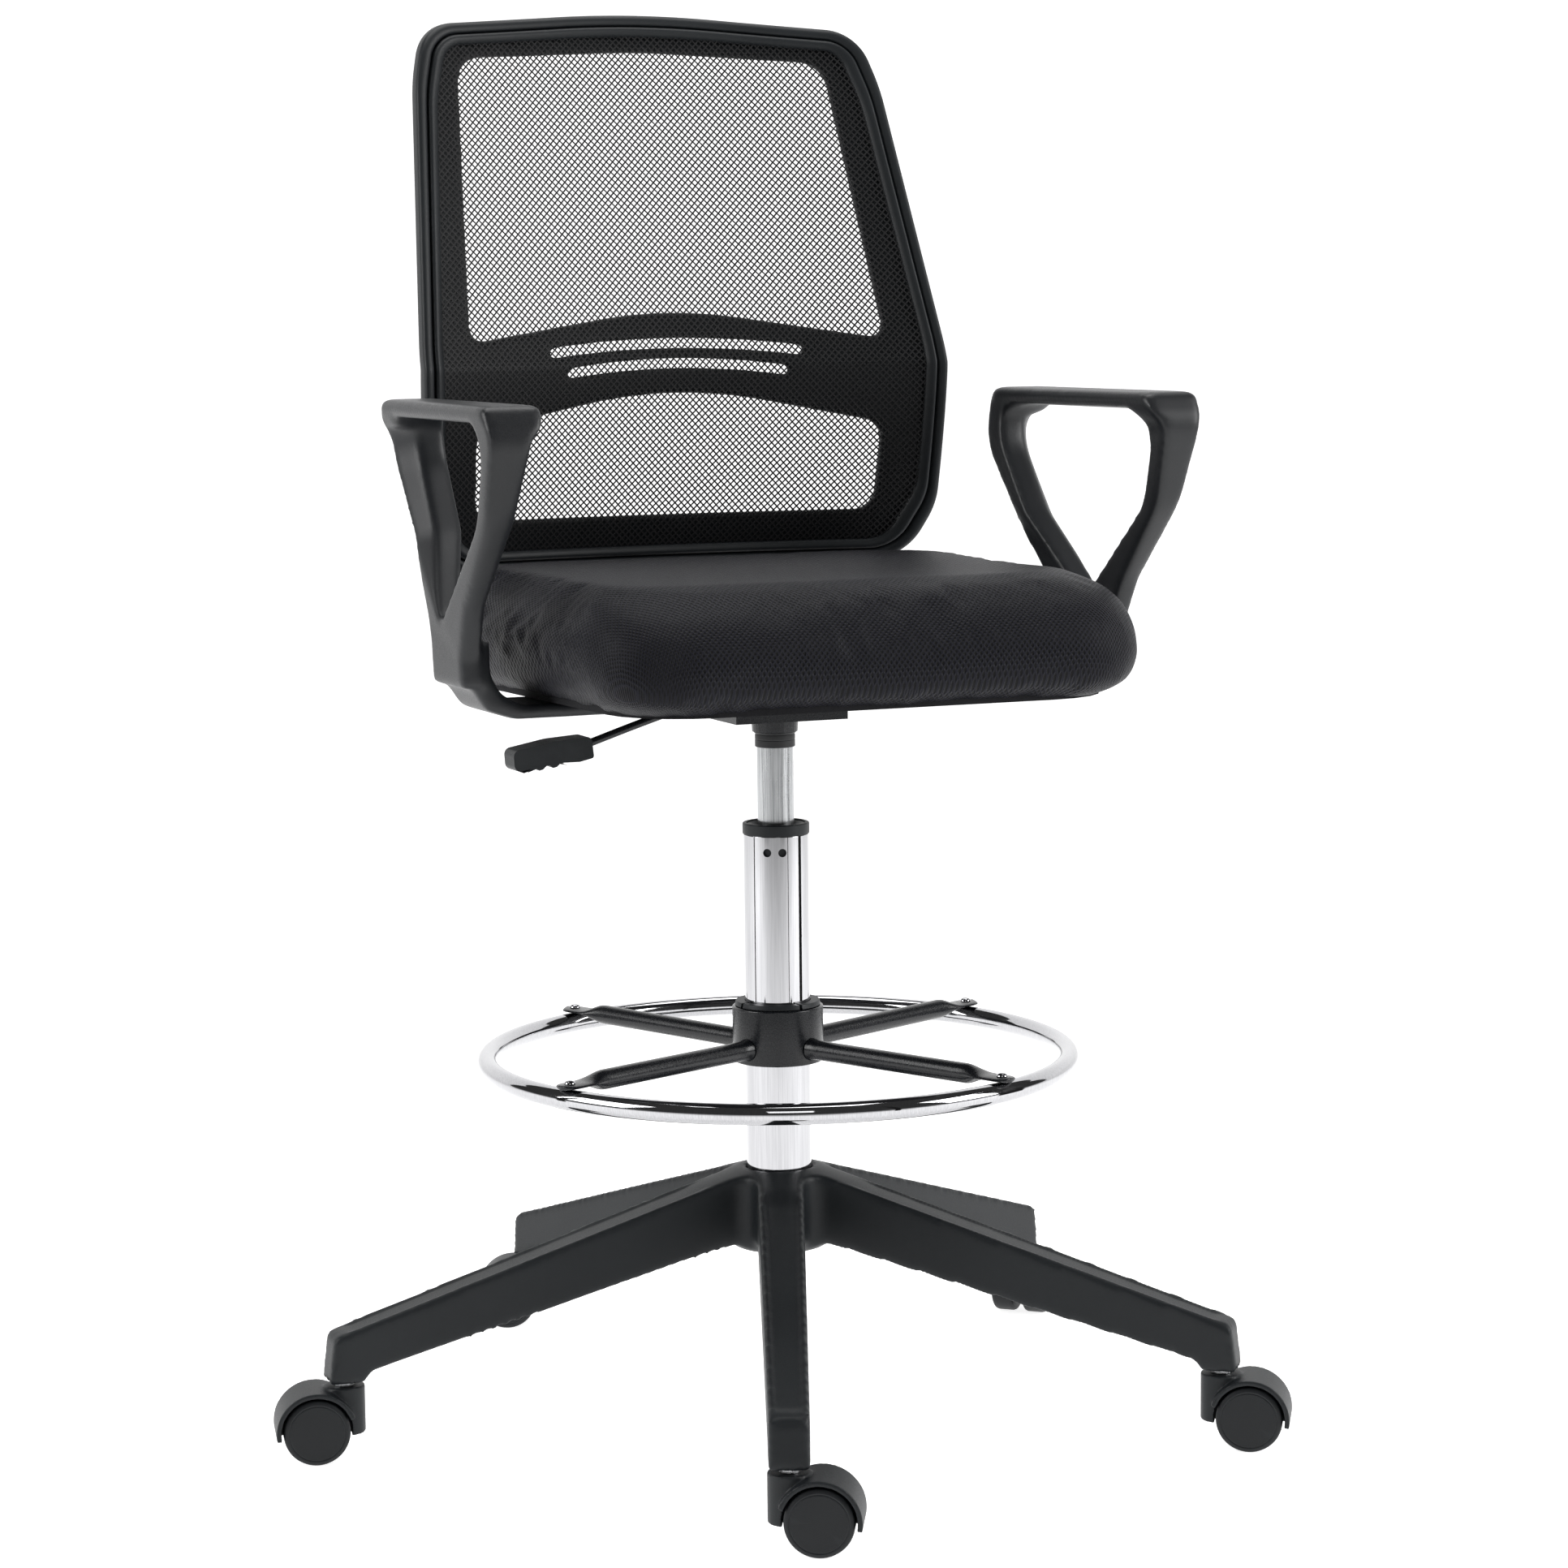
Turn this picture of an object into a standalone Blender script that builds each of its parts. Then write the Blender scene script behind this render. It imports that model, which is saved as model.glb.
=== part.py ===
"""A drafting chair: five-leg base on twin-wheel casters, gas lift, height-adjustable footring,
upholstered seat, two loop armrests and a mesh backrest. Metres, +Z up, the sitter faces -Y."""

import math

import bmesh
import bpy
from mathutils import Matrix, Vector

MM = 0.001
GAP = 0.3 * MM  # clearance between touching pieces

# The column stands here, so that the whole chair's box is centred on the origin.
COLUMN_X = 27.2 * MM
COLUMN_Y = -8.6 * MM
DATUM = -7 * MM  # heights of the base and of all above it are given from this level

# Base and casters
LEG_COUNT = 5
FIRST_LEG_ANGLE = math.radians(-112.3)
LEG_END_RADIUS = 361 * MM
LEG_END_TOP = 103 * MM
LEG_END_BOTTOM = 66 * MM
LEG_HALF_WIDTH_END = 14.5 * MM
LEG_HALF_WIDTH_HUB = 18 * MM
HUB_TOP = 204 * MM
HUB_BOTTOM = 140 * MM
LEG_ROOT_BOTTOM = 147 * MM
HUB_RADIUS = 28 * MM
WEB_RADIUS = 14 * MM
CASTER_RADIUS = 347 * MM
CASTER_TRAIL_ANGLES = [math.radians(a) for a in (-28, -33, 47, 150, 167)]
CASTER_TRAIL = 22 * MM
WHEEL_RADIUS = 25 * MM
WHEEL_WIDTH = 18 * MM
WHEEL_INNER = 4.2 * MM
HOOD_HEIGHT = 56 * MM
STEM_RADIUS = 5.5 * MM
AXLE_RADIUS = 3 * MM

# Column and gas lift
TUBE_RADIUS = 25 * MM
TUBE_WALL = 2 * MM
TUBE_BOTTOM = 143 * MM
TUBE_TOP = 462 * MM
COLLAR_TOP = 471 * MM
CYLINDER_RADIUS = 14 * MM
CYLINDER_BOTTOM = 215 * MM
CYLINDER_TOP = 557 * MM
ROD_RADIUS = 5 * MM
ROD_TOP = 440 * MM

# Footring
RING_RADIUS = 224 * MM
RING_TUBE_RADIUS = 7.8 * MM
RING_HEIGHT = 289 * MM
RING_HUB_RADIUS = 35 * MM
RING_HUB_BOTTOM = 286 * MM
RING_HUB_TOP = 329 * MM
ARM_TUBE_RADIUS = 7.5 * MM
FIRST_ARM_ANGLE = math.radians(24)

# Seat
SEAT_HALF_WIDTH = 237 * MM
SEAT_FRONT = -238 * MM
SEAT_REAR = 205 * MM
SEAT_BOTTOM = 577 * MM
BOARD_BOTTOM = 577 * MM
BOARD_THICKNESS = 12 * MM
LEVER_PIVOT = (-30 * MM, 0, 566 * MM)

# Armrests, as the side outline of the loop: (Y, Z)
ARM_INNER_FACE = 239 * MM
ARM_LEG_WIDTH = 44 * MM
PAD_WIDTH = 48 * MM
PAD_TOP = 797 * MM
ARM_TOE_IN = 0.02
ARM_FOOT_BOTTOM = 566 * MM
ARM_FOOT_TOP = 576.7 * MM

# Backrest
BACK_BOTTOM = 655 * MM
BACK_TOP = 1096 * MM
BACK_THICKNESS = 16 * MM
BACK_HOLLOW = 28 * MM  # how far its middle lies behind its side edges


def clear_scene():
    for old in list(bpy.data.objects):
        bpy.data.objects.remove(old, do_unlink=True)


def new_collection(name):
    collection = bpy.data.collections.new(name)
    bpy.context.scene.collection.children.link(collection)
    return collection


clear_scene()
CHAIR = new_collection("drafting_chair")
CUTTERS = new_collection("cutters")


def new_material(name, color, roughness, metallic=0.0):
    material = bpy.data.materials.new(name)
    material.use_nodes = True
    shader = material.node_tree.nodes["Principled BSDF"]
    shader.inputs["Base Color"].default_value = (*color, 1)
    shader.inputs["Roughness"].default_value = roughness
    shader.inputs["Metallic"].default_value = metallic
    return material


NYLON = new_material("black_nylon", (0.022, 0.024, 0.027), 0.5)
CHROME = new_material("chrome", (0.8, 0.8, 0.8), 0.07, 1.0)
STEEL = new_material("brushed_steel", (0.5, 0.5, 0.5), 0.3, 1.0)
BLACK_STEEL = new_material("black_coated_steel", (0.02, 0.02, 0.022), 0.35, 0.3)
FABRIC = new_material("air_mesh_fabric", (0.012, 0.012, 0.018), 0.9)
PLYWOOD = new_material("plywood", (0.45, 0.3, 0.17), 0.7)
RUBBER = new_material("boot_rubber", (0.01, 0.01, 0.01), 0.6)


def new_empty(name, location=(0, 0, 0), parent=None, turn=0.0):
    empty = bpy.data.objects.new(name, None)
    CHAIR.objects.link(empty)
    empty.location = location
    empty.rotation_euler.z = turn
    empty.parent = parent
    return empty


def place(obj, material, parent, location=(0, 0, 0), rotation=(0, 0, 0)):
    """Puts an object in the chair with its finish, under its parent."""
    obj.location = location
    obj.rotation_euler = rotation
    obj.parent = parent
    obj.data.materials.append(material)
    CHAIR.objects.link(obj)
    return obj


def hide_cutter(obj, parent=None, location=(0, 0, 0), rotation=(0, 0, 0)):
    obj.location = location
    obj.rotation_euler = rotation
    obj.parent = parent
    obj.hide_render = True
    obj.display_type = "WIRE"
    CUTTERS.objects.link(obj)
    return obj


def mesh_object(name, fill):
    """A new unlinked mesh object whose bmesh the fill function shapes."""
    mesh = bpy.data.meshes.new(name)
    shape = bmesh.new()
    fill(shape)
    bmesh.ops.recalc_face_normals(shape, faces=shape.faces)
    shape.to_mesh(mesh)
    shape.free()
    return bpy.data.objects.new(name, mesh)


def turned(name, profile, steps=32, closed=False):
    """A shape turned about Z. The profile of (radius, height) points runs down the outer side."""
    mesh = bpy.data.meshes.new(name)
    points = [(radius, 0, height) for radius, height in profile]
    edges = [(i, i + 1) for i in range(len(points) - 1)]
    if closed:
        edges.append((len(points) - 1, 0))
    mesh.from_pydata(points, edges, [])
    obj = bpy.data.objects.new(name, mesh)
    screw = obj.modifiers.new("turn", "SCREW")
    screw.steps = steps
    screw.render_steps = steps
    screw.use_merge_vertices = True
    screw.merge_threshold = 0.00001
    return obj


def cylinder(name, radius, length, steps=24):
    """A cylinder standing on the origin along Z."""

    def fill(shape):
        bmesh.ops.create_cone(
            shape, cap_ends=True, segments=steps, radius1=radius, radius2=radius, depth=length
        )
        bmesh.ops.translate(shape, vec=(0, 0, length / 2), verts=shape.verts)

    return mesh_object(name, fill)


def box(name, low, high):
    """A box between two corners."""

    def fill(shape):
        bmesh.ops.create_cube(shape, size=1)
        size = Vector(high) - Vector(low)
        bmesh.ops.scale(shape, vec=size, verts=shape.verts)
        bmesh.ops.translate(shape, vec=(Vector(low) + Vector(high)) / 2, verts=shape.verts)

    return mesh_object(name, fill)


def extruded(name, outlines, thickness, plane="XY"):
    """Outlines filled as a 2D curve, extruded by half the thickness each way, as a welded mesh.
    In plane YZ an outline's points are (Y, Z), in XZ they are (X, Z)."""
    curve = bpy.data.curves.new(name, "CURVE")
    curve.dimensions = "2D"
    curve.fill_mode = "BOTH"
    curve.extrude = thickness / 2
    for outline in outlines:
        spline = curve.splines.new("POLY")
        spline.points.add(len(outline) - 1)
        spline.use_cyclic_u = True
        for point, (u, v) in zip(spline.points, outline):
            point.co = (u, v, 0, 1)
    turns = {
        "XY": Matrix.Identity(4),
        "XZ": Matrix.Rotation(math.radians(90), 4, "X"),
        "YZ": Matrix.Rotation(math.radians(90), 4, "Z") @ Matrix.Rotation(math.radians(90), 4, "X"),
    }
    return curve_to_mesh(name, curve, turns[plane])


def curve_to_mesh(name, curve, matrix=Matrix.Identity(4)):
    """The evaluated curve as a mesh object with its caps welded and its turn applied."""
    temporary = bpy.data.objects.new(name + "_curve", curve)
    bpy.context.scene.collection.objects.link(temporary)
    bpy.context.view_layer.update()
    evaluated = temporary.evaluated_get(bpy.context.evaluated_depsgraph_get())
    mesh = bpy.data.meshes.new_from_object(evaluated)
    bpy.data.objects.remove(temporary, do_unlink=True)
    shape = bmesh.new()
    shape.from_mesh(mesh)
    bmesh.ops.remove_doubles(shape, verts=shape.verts, dist=0.00001)
    bmesh.ops.transform(shape, matrix=matrix, verts=shape.verts)
    bmesh.ops.recalc_face_normals(shape, faces=shape.faces)
    shape.to_mesh(mesh)
    shape.free()
    mesh.name = name
    return bpy.data.objects.new(name, mesh)


def lofted(name, rings):
    """A closed skin through rings of points, with flat ends."""

    def fill(shape):
        loops = []
        for ring in rings:
            verts = [shape.verts.new(point) for point in ring]
            loops.append([shape.edges.new((a, b)) for a, b in zip(verts, verts[1:] + verts[:1])])
        for low, high in zip(loops, loops[1:]):
            bmesh.ops.bridge_loops(shape, edges=low + high)
        bmesh.ops.contextual_create(shape, geom=loops[0])
        bmesh.ops.contextual_create(shape, geom=loops[-1])

    return mesh_object(name, fill)


def tube_along(name, points, radius, sides_setting=2):
    """A round bar or tube along a smooth path, with filled caps."""
    curve = bpy.data.curves.new(name, "CURVE")
    curve.dimensions = "3D"
    curve.bevel_depth = radius
    curve.bevel_resolution = sides_setting
    curve.use_fill_caps = True
    spline = curve.splines.new("POLY")
    spline.points.add(len(points) - 1)
    for point, place_at in zip(spline.points, points):
        point.co = (*place_at, 1)
    return curve_to_mesh(name, curve)


def boolean(obj, tool, operation):
    modifier = obj.modifiers.new(operation.lower(), "BOOLEAN")
    modifier.operation = operation
    modifier.object = tool
    return modifier


def bevel(obj, width, segments=2, angle=40):
    modifier = obj.modifiers.new("edges", "BEVEL")
    modifier.width = width
    modifier.segments = segments
    modifier.angle_limit = math.radians(angle)


def smooth(obj, angle=35):
    obj.data.shade_smooth()
    obj.data.set_sharp_from_angle(angle=math.radians(angle))


def arc(center, radius, start, end, steps):
    """Points on an arc, angles in radians."""
    return [
        (
            center[0] + radius * math.cos(start + (end - start) * i / steps),
            center[1] + radius * math.sin(start + (end - start) * i / steps),
        )
        for i in range(steps + 1)
    ]


def rounded_outline(corners):
    """A convex or concave outline from corners (u, v, radius, steps), each rounded by an arc."""
    points = []
    for i, (u, v, radius, steps) in enumerate(corners):
        here = Vector((u, v))
        before = (Vector(corners[i - 1][:2]) - here).normalized()
        after = (Vector(corners[(i + 1) % len(corners)][:2]) - here).normalized()
        if radius <= 0:
            points.append((u, v))
            continue
        half = before.angle(after) / 2
        reach = radius / math.tan(half)
        center = here + (before + after).normalized() * (radius / math.sin(half))
        start = here + before * reach - center
        end = here + after * reach - center
        sweep = start.angle_signed(end)
        for step in range(steps + 1):
            turn = Matrix.Rotation(-sweep * step / steps, 2)
            points.append(tuple(center + turn @ start))
    return points


def leg_angle(index):
    return FIRST_LEG_ANGLE + index * 2 * math.pi / LEG_COUNT


ROOT = new_empty("chair", (COLUMN_X, COLUMN_Y, DATUM))
FLOOR = new_empty("floor_level", (0, 0, -DATUM), ROOT)
FOOTRING_EMPTY = new_empty("footring_slide", (0, 0, RING_HEIGHT), ROOT)
SEAT_EMPTY = new_empty("seat_slide", (0, 0, BOARD_BOTTOM), ROOT)
LEVER_EMPTY = new_empty("lever_hinge", LEVER_PIVOT, ROOT)


# Base -------------------------------------------------------------------------------------


def star_outline():
    """The base seen from above: five tapering legs with filleted webs between them."""
    corners = []
    web = LEG_HALF_WIDTH_HUB / math.sin(math.pi / LEG_COUNT)
    for index in range(LEG_COUNT):
        angle = leg_angle(index)
        along = Vector((math.cos(angle), math.sin(angle)))
        across = Vector((-along.y, along.x))
        for side in (-1, 1):
            corner = along * (LEG_END_RADIUS + 5 * MM) + across * side * LEG_HALF_WIDTH_END
            corners.append((corner.x, corner.y, 0, 0))
        between = angle + math.pi / LEG_COUNT
        corners.append((web * math.cos(between), web * math.sin(between), WEB_RADIUS, 4))
    return rounded_outline(corners)


def leg_top(radius):
    """Height of a leg's top edge at this distance from the column."""
    share = (radius - HUB_RADIUS) / (LEG_END_RADIUS - 5 * MM - HUB_RADIUS)
    return HUB_TOP + (LEG_END_TOP - HUB_TOP) * share


def make_base():
    base = place(
        extruded("base_star", [star_outline()], 2 * HUB_TOP), NYLON, ROOT, (0, 0, HUB_TOP - 1 * MM)
    )
    profile = [
        (0, HUB_TOP),
        (HUB_RADIUS, HUB_TOP),
        (LEG_END_RADIUS - 7 * MM, LEG_END_TOP),
        (LEG_END_RADIUS - 4 * MM, LEG_END_TOP - 3 * MM),
        (LEG_END_RADIUS, LEG_END_BOTTOM),
        (LEG_END_RADIUS - 27 * MM, LEG_END_BOTTOM),
        (LEG_END_RADIUS - 31 * MM, LEG_END_BOTTOM + 8 * MM),
        (44 * MM, LEG_ROOT_BOTTOM),
        (33 * MM, HUB_BOTTOM),
        (0, HUB_BOTTOM),
    ]
    heights = hide_cutter(turned("leg_heights", profile, 60), ROOT)
    boolean(base, heights, "INTERSECT")
    bore = hide_cutter(cylinder("hub_bore", TUBE_RADIUS + GAP, 90 * MM, 32), ROOT, (0, 0, 130 * MM))
    boolean(base, bore, "DIFFERENCE")
    for index in range(LEG_COUNT):
        for lane in (-1, 0, 1):
            make_leg_channel(base, index, lane)
        make_caster(base, index)


def make_leg_channel(base, index, lane):
    """One of the three hollows under a leg, with the ribs of the moulding between them."""
    inner, outer = 52 * MM, 318 * MM
    wall, roof, rib = 4.5 * MM, 7 * MM, 4 * MM

    def fill(shape):
        bmesh.ops.create_cube(shape, size=2)
        for vert in shape.verts:
            radius = inner if vert.co.x < 0 else outer
            room = (LEG_HALF_WIDTH_HUB if vert.co.x < 0 else LEG_HALF_WIDTH_END) - wall
            width = (2 * room - 2 * rib) / 3
            height = leg_top(radius) - roof if vert.co.z > 0 else 40 * MM
            vert.co = (radius, lane * (width + rib) + vert.co.y * width / 2, height)

    name = f"leg_channel_{index + 1}_{lane + 2}"
    channel = hide_cutter(mesh_object(name, fill), ROOT, rotation=(0, 0, leg_angle(index)))
    boolean(base, channel, "DIFFERENCE")


def make_caster(base, index):
    number = index + 1
    angle = leg_angle(index)
    location = (CASTER_RADIUS * math.cos(angle), CASTER_RADIUS * math.sin(angle), 0)
    swivel = new_empty(f"caster_{number}_swivel", location, FLOOR, CASTER_TRAIL_ANGLES[index])
    axle_at = (CASTER_TRAIL, 0, WHEEL_RADIUS)
    across = (math.radians(90), 0, 0)

    socket = cylinder(f"stem_socket_{number}", STEM_RADIUS + GAP, 42 * MM, 16)
    hide_cutter(socket, swivel, (0, 0, 45 * MM))
    boolean(base, socket, "DIFFERENCE")
    stem = [
        (0, 85 * MM),
        (STEM_RADIUS - 1 * MM, 85 * MM),
        (STEM_RADIUS, 82 * MM),
        (STEM_RADIUS, 58.7 * MM),
        (8 * MM, 58.7 * MM),
        (8 * MM, HOOD_HEIGHT + GAP),
        (STEM_RADIUS, HOOD_HEIGHT + GAP),
        (STEM_RADIUS, 44 * MM),
        (0, 44 * MM),
    ]
    smooth(place(turned(f"caster_{number}_stem", stem, 12), STEEL, swivel))

    foot = 20 * MM
    hood = cylinder(f"caster_{number}_hood", 15.5 * MM, HOOD_HEIGHT - foot, 20)
    hood.data.transform(Matrix.Translation((0, 0, foot)))
    place(hood, NYLON, swivel)
    fender_radius = WHEEL_RADIUS + 5.5 * MM
    center = (CASTER_TRAIL, WHEEL_RADIUS)
    fender = arc(center, fender_radius, math.radians(-10), math.radians(160), 14)
    fender += arc(center, 8 * MM, math.radians(200), math.radians(330), 4)
    half = WHEEL_INNER + WHEEL_WIDTH + 0.8 * MM
    guard = extruded(f"fender_{number}", [fender], 2 * half, "XZ")
    boolean(hood, hide_cutter(guard, swivel), "UNION")
    for side, letter in ((1, "a"), (-1, "b")):
        room = cylinder(f"wheel_room_{number}{letter}", WHEEL_RADIUS + 1.6 * MM, 40 * MM, 24)
        start = (axle_at[0], side * (WHEEL_INNER - 0.7 * MM) + (40 * MM if side > 0 else 0), axle_at[2])
        boolean(hood, hide_cutter(room, swivel, start, across), "DIFFERENCE")
        place_wheel(number, letter, side, swivel, axle_at, across)
    hole = cylinder(f"axle_hole_{number}", AXLE_RADIUS + GAP, 60 * MM, 12)
    hide_cutter(hole, swivel, (axle_at[0], 30 * MM, axle_at[2]), across)
    boolean(hood, hole, "DIFFERENCE")
    stem_hole = cylinder(f"stem_hole_{number}", STEM_RADIUS + GAP, 30 * MM, 16)
    boolean(hood, hide_cutter(stem_hole, swivel, (0, 0, 43.5 * MM)), "DIFFERENCE")
    axle = cylinder(f"caster_{number}_axle", AXLE_RADIUS, 36 * MM, 12)
    smooth(place(axle, STEEL, swivel, (axle_at[0], 18 * MM, axle_at[2]), across))


def place_wheel(number, letter, side, swivel, axle_at, across):
    """One wheel: a flat disc face outside and a blind axle hole inside. Its own Z is the axle,
    with the outer face at the low end."""
    rim = WHEEL_RADIUS
    inner_end = WHEEL_WIDTH
    profile = [
        (AXLE_RADIUS + GAP, inner_end),
        (rim - 2 * MM, inner_end),
        (rim, inner_end - 2 * MM),
        (rim, 2.5 * MM),
        (rim - 2.5 * MM, 0),
        (0, 0),
    ]
    # The hole for the axle's end, from its bottom up to the inner face.
    profile = [(0, 3 * MM), (AXLE_RADIUS + GAP, 3 * MM)] + profile
    wheel = turned(f"caster_{number}_wheel_{letter}", profile, 20)
    outer_end = side * (WHEEL_INNER + WHEEL_WIDTH)
    turn = across if side > 0 else (-across[0], 0, 0)
    # Turned by +90 degrees about X, the wheel's own +Z points along -Y.
    smooth(place(wheel, NYLON, swivel, (axle_at[0], outer_end, axle_at[2]), turn))


# Column -----------------------------------------------------------------------------------


def make_column():
    inner = TUBE_RADIUS - TUBE_WALL
    tube = [
        (TUBE_RADIUS, TUBE_TOP),
        (TUBE_RADIUS, TUBE_BOTTOM),
        (6 * MM, TUBE_BOTTOM),
        (6 * MM, TUBE_BOTTOM + 4 * MM),
        (inner, TUBE_BOTTOM + 4 * MM),
        (inner, TUBE_TOP),
    ]
    column = smooth_place(turned("column_tube", tube, 32, closed=True), CHROME, ROOT)
    for number, angle in enumerate((-129, -102)):
        turn = math.radians(angle)
        hole = cylinder(f"tube_hole_{number + 1}", 3.2 * MM, 20 * MM, 12)
        at = (14 * MM * math.cos(turn), 14 * MM * math.sin(turn), 450 * MM)
        hide_cutter(hole, ROOT, at, (0, math.radians(90), turn))
        boolean(column, hole, "DIFFERENCE")
    collar = [
        (TUBE_RADIUS + 0.2 * MM, COLLAR_TOP),
        (TUBE_RADIUS + 0.7 * MM, COLLAR_TOP - 1 * MM),
        (TUBE_RADIUS + 0.7 * MM, TUBE_TOP + GAP),
        (TUBE_RADIUS - 2.4 * MM, TUBE_TOP + GAP),
        (TUBE_RADIUS - 2.4 * MM, COLLAR_TOP),
    ]
    smooth_place(turned("column_collar", collar, 32, closed=True), NYLON, ROOT)
    bush = [
        (TUBE_RADIUS - 3.1 * MM, COLLAR_TOP - 1 * MM),
        (TUBE_RADIUS - 3.1 * MM, TUBE_TOP),
        (inner - 0.3 * MM, TUBE_TOP - 2 * MM),
        (inner - 0.3 * MM, 400 * MM),
        (CYLINDER_RADIUS + 0.4 * MM, 400 * MM),
        (CYLINDER_RADIUS + 0.4 * MM, COLLAR_TOP - 6 * MM),
    ]
    smooth_place(turned("column_guide_bush", bush, 24, closed=True), NYLON, ROOT)


def smooth_place(obj, material, parent, *args):
    place(obj, material, parent, *args)
    smooth(obj)
    return obj


def make_gas_lift():
    bore = CYLINDER_RADIUS - 1.8 * MM
    roof = CYLINDER_TOP - 14 * MM
    shell = [
        (0, CYLINDER_TOP - 8 * MM),
        (3.3 * MM, CYLINDER_TOP - 8 * MM),
        (3.3 * MM, CYLINDER_TOP),
        (CYLINDER_RADIUS - 1.5 * MM, CYLINDER_TOP),
        (CYLINDER_RADIUS, CYLINDER_TOP - 25 * MM),
        (CYLINDER_RADIUS, CYLINDER_BOTTOM),
        (ROD_RADIUS + 0.5 * MM, CYLINDER_BOTTOM),
        (ROD_RADIUS + 0.5 * MM, CYLINDER_BOTTOM + 8 * MM),
        (bore, CYLINDER_BOTTOM + 8 * MM),
        (bore, roof),
        (0, roof),
    ]
    smooth_place(turned("gas_cylinder", shell, 24), STEEL, ROOT)
    piston = [
        (0, ROD_TOP),
        (bore - 0.5 * MM, ROD_TOP),
        (bore - 0.5 * MM, ROD_TOP - 12 * MM),
        (ROD_RADIUS, ROD_TOP - 12 * MM),
        (ROD_RADIUS, 152 * MM),
        (ROD_RADIUS - 0.4 * MM, 152 * MM),
        (ROD_RADIUS - 0.4 * MM, 141 * MM),
        (0, 141 * MM),
    ]
    smooth_place(turned("piston_rod", piston, 16), STEEL, ROOT)
    bearing = [
        (13 * MM, 152 * MM),
        (13 * MM, 147.3 * MM),
        (ROD_RADIUS + GAP, 147.3 * MM),
        (ROD_RADIUS + GAP, 152 * MM),
    ]
    smooth_place(turned("thrust_bearing", bearing, 24, closed=True), STEEL, ROOT)
    clip = [
        (9 * MM, 142.7 * MM),
        (9 * MM, 141.2 * MM),
        (ROD_RADIUS, 141.2 * MM),
        (ROD_RADIUS, 142.7 * MM),
    ]
    smooth_place(turned("rod_clip", clip, 16, closed=True), STEEL, ROOT)
    pin_top = LEVER_PIVOT[2] - 3.4 * MM
    pin = [(0, pin_top), (3 * MM, pin_top), (3 * MM, CYLINDER_TOP - 4 * MM), (0, CYLINDER_TOP - 4 * MM)]
    smooth_place(turned("release_pin", pin, 12), STEEL, ROOT)


# Footring ---------------------------------------------------------------------------------


def make_footring():
    bpy.ops.mesh.primitive_torus_add(
        major_radius=RING_RADIUS, minor_radius=RING_TUBE_RADIUS, major_segments=48, minor_segments=10
    )
    ring = bpy.context.object
    ring.name = "footring_tube"
    for collection in list(ring.users_collection):
        collection.objects.unlink(ring)
    smooth_place(ring, CHROME, FOOTRING_EMPTY)

    low = RING_HUB_BOTTOM - RING_HEIGHT
    high = RING_HUB_TOP - RING_HEIGHT
    collet_outer = TUBE_RADIUS + 3.5 * MM
    hub = [
        (RING_HUB_RADIUS - 1.5 * MM, high),
        (RING_HUB_RADIUS, high - 1.5 * MM),
        (RING_HUB_RADIUS, low + 1.5 * MM),
        (RING_HUB_RADIUS - 1.5 * MM, low),
        (collet_outer + GAP, low),
        (collet_outer + GAP, high),
    ]
    smooth_place(turned("footring_hub", hub, 28, closed=True), BLACK_STEEL, FOOTRING_EMPTY)
    collet = [
        (RING_HUB_RADIUS - 3 * MM, high + 4 * MM),
        (RING_HUB_RADIUS - 2 * MM, high + GAP),
        (collet_outer, high + GAP),
        (collet_outer, low + 1 * MM),
        (TUBE_RADIUS + 0.4 * MM, low + 1 * MM),
        (TUBE_RADIUS + 0.4 * MM, high + 4 * MM),
    ]
    split = smooth_place(turned("footring_collet", collet, 28, closed=True), NYLON, FOOTRING_EMPTY)
    slot = box("collet_slot", (20 * MM, -1.5 * MM, high - 25 * MM), (40 * MM, 1.5 * MM, high + 9 * MM))
    for index in range(4):
        notch = hide_cutter(slot.copy(), FOOTRING_EMPTY, rotation=(0, 0, math.pi / 2 * index))
        boolean(split, notch, "DIFFERENCE")

    for index in range(4):
        make_footring_arm(index)


def make_footring_arm(index):
    """A tube from the hub, pressed flat where it is riveted on top of the ring."""
    tip = RING_RADIUS + 9 * MM
    inner_height = 9 * MM
    flat_height = RING_TUBE_RADIUS + GAP + 2 * MM
    start = RING_HUB_RADIUS + GAP
    flat_from, flat_to = RING_RADIUS - 34 * MM, RING_RADIUS - 12 * MM
    stations = [start, start + 70 * MM, flat_from, flat_from + 11 * MM, flat_to, RING_RADIUS, tip]
    arm = tube_along(f"footring_arm_{index + 1}", [(x, 0, 0) for x in stations], ARM_TUBE_RADIUS)
    for vert in arm.data.vertices:
        share = min(max((vert.co.x - flat_from) / (flat_to - flat_from), 0), 1)
        share = share * share * (3 - 2 * share)
        along = (vert.co.x - start) / (flat_to - start)
        middle = inner_height + (flat_height - inner_height) * min(along, 1)
        round_end = 0.75 if vert.co.x > tip - 1 * MM else 1
        vert.co.y *= (1 + 0.45 * share) * round_end
        vert.co.z = middle + vert.co.z * (1 - 0.75 * share)
    turn = FIRST_ARM_ANGLE + index * math.pi / 2
    smooth_place(arm, BLACK_STEEL, FOOTRING_EMPTY, (0, 0, 0), (0, 0, turn))
    top = flat_height + 2 * MM + GAP
    head = [(0, top + 2.2 * MM), (2.5 * MM, top + 1.8 * MM), (4.3 * MM, top), (0, top)]
    at = (RING_RADIUS * math.cos(turn), RING_RADIUS * math.sin(turn), 0)
    smooth_place(turned(f"footring_rivet_{index + 1}", head, 14), CHROME, FOOTRING_EMPTY, at)


# Seat -------------------------------------------------------------------------------------


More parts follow.
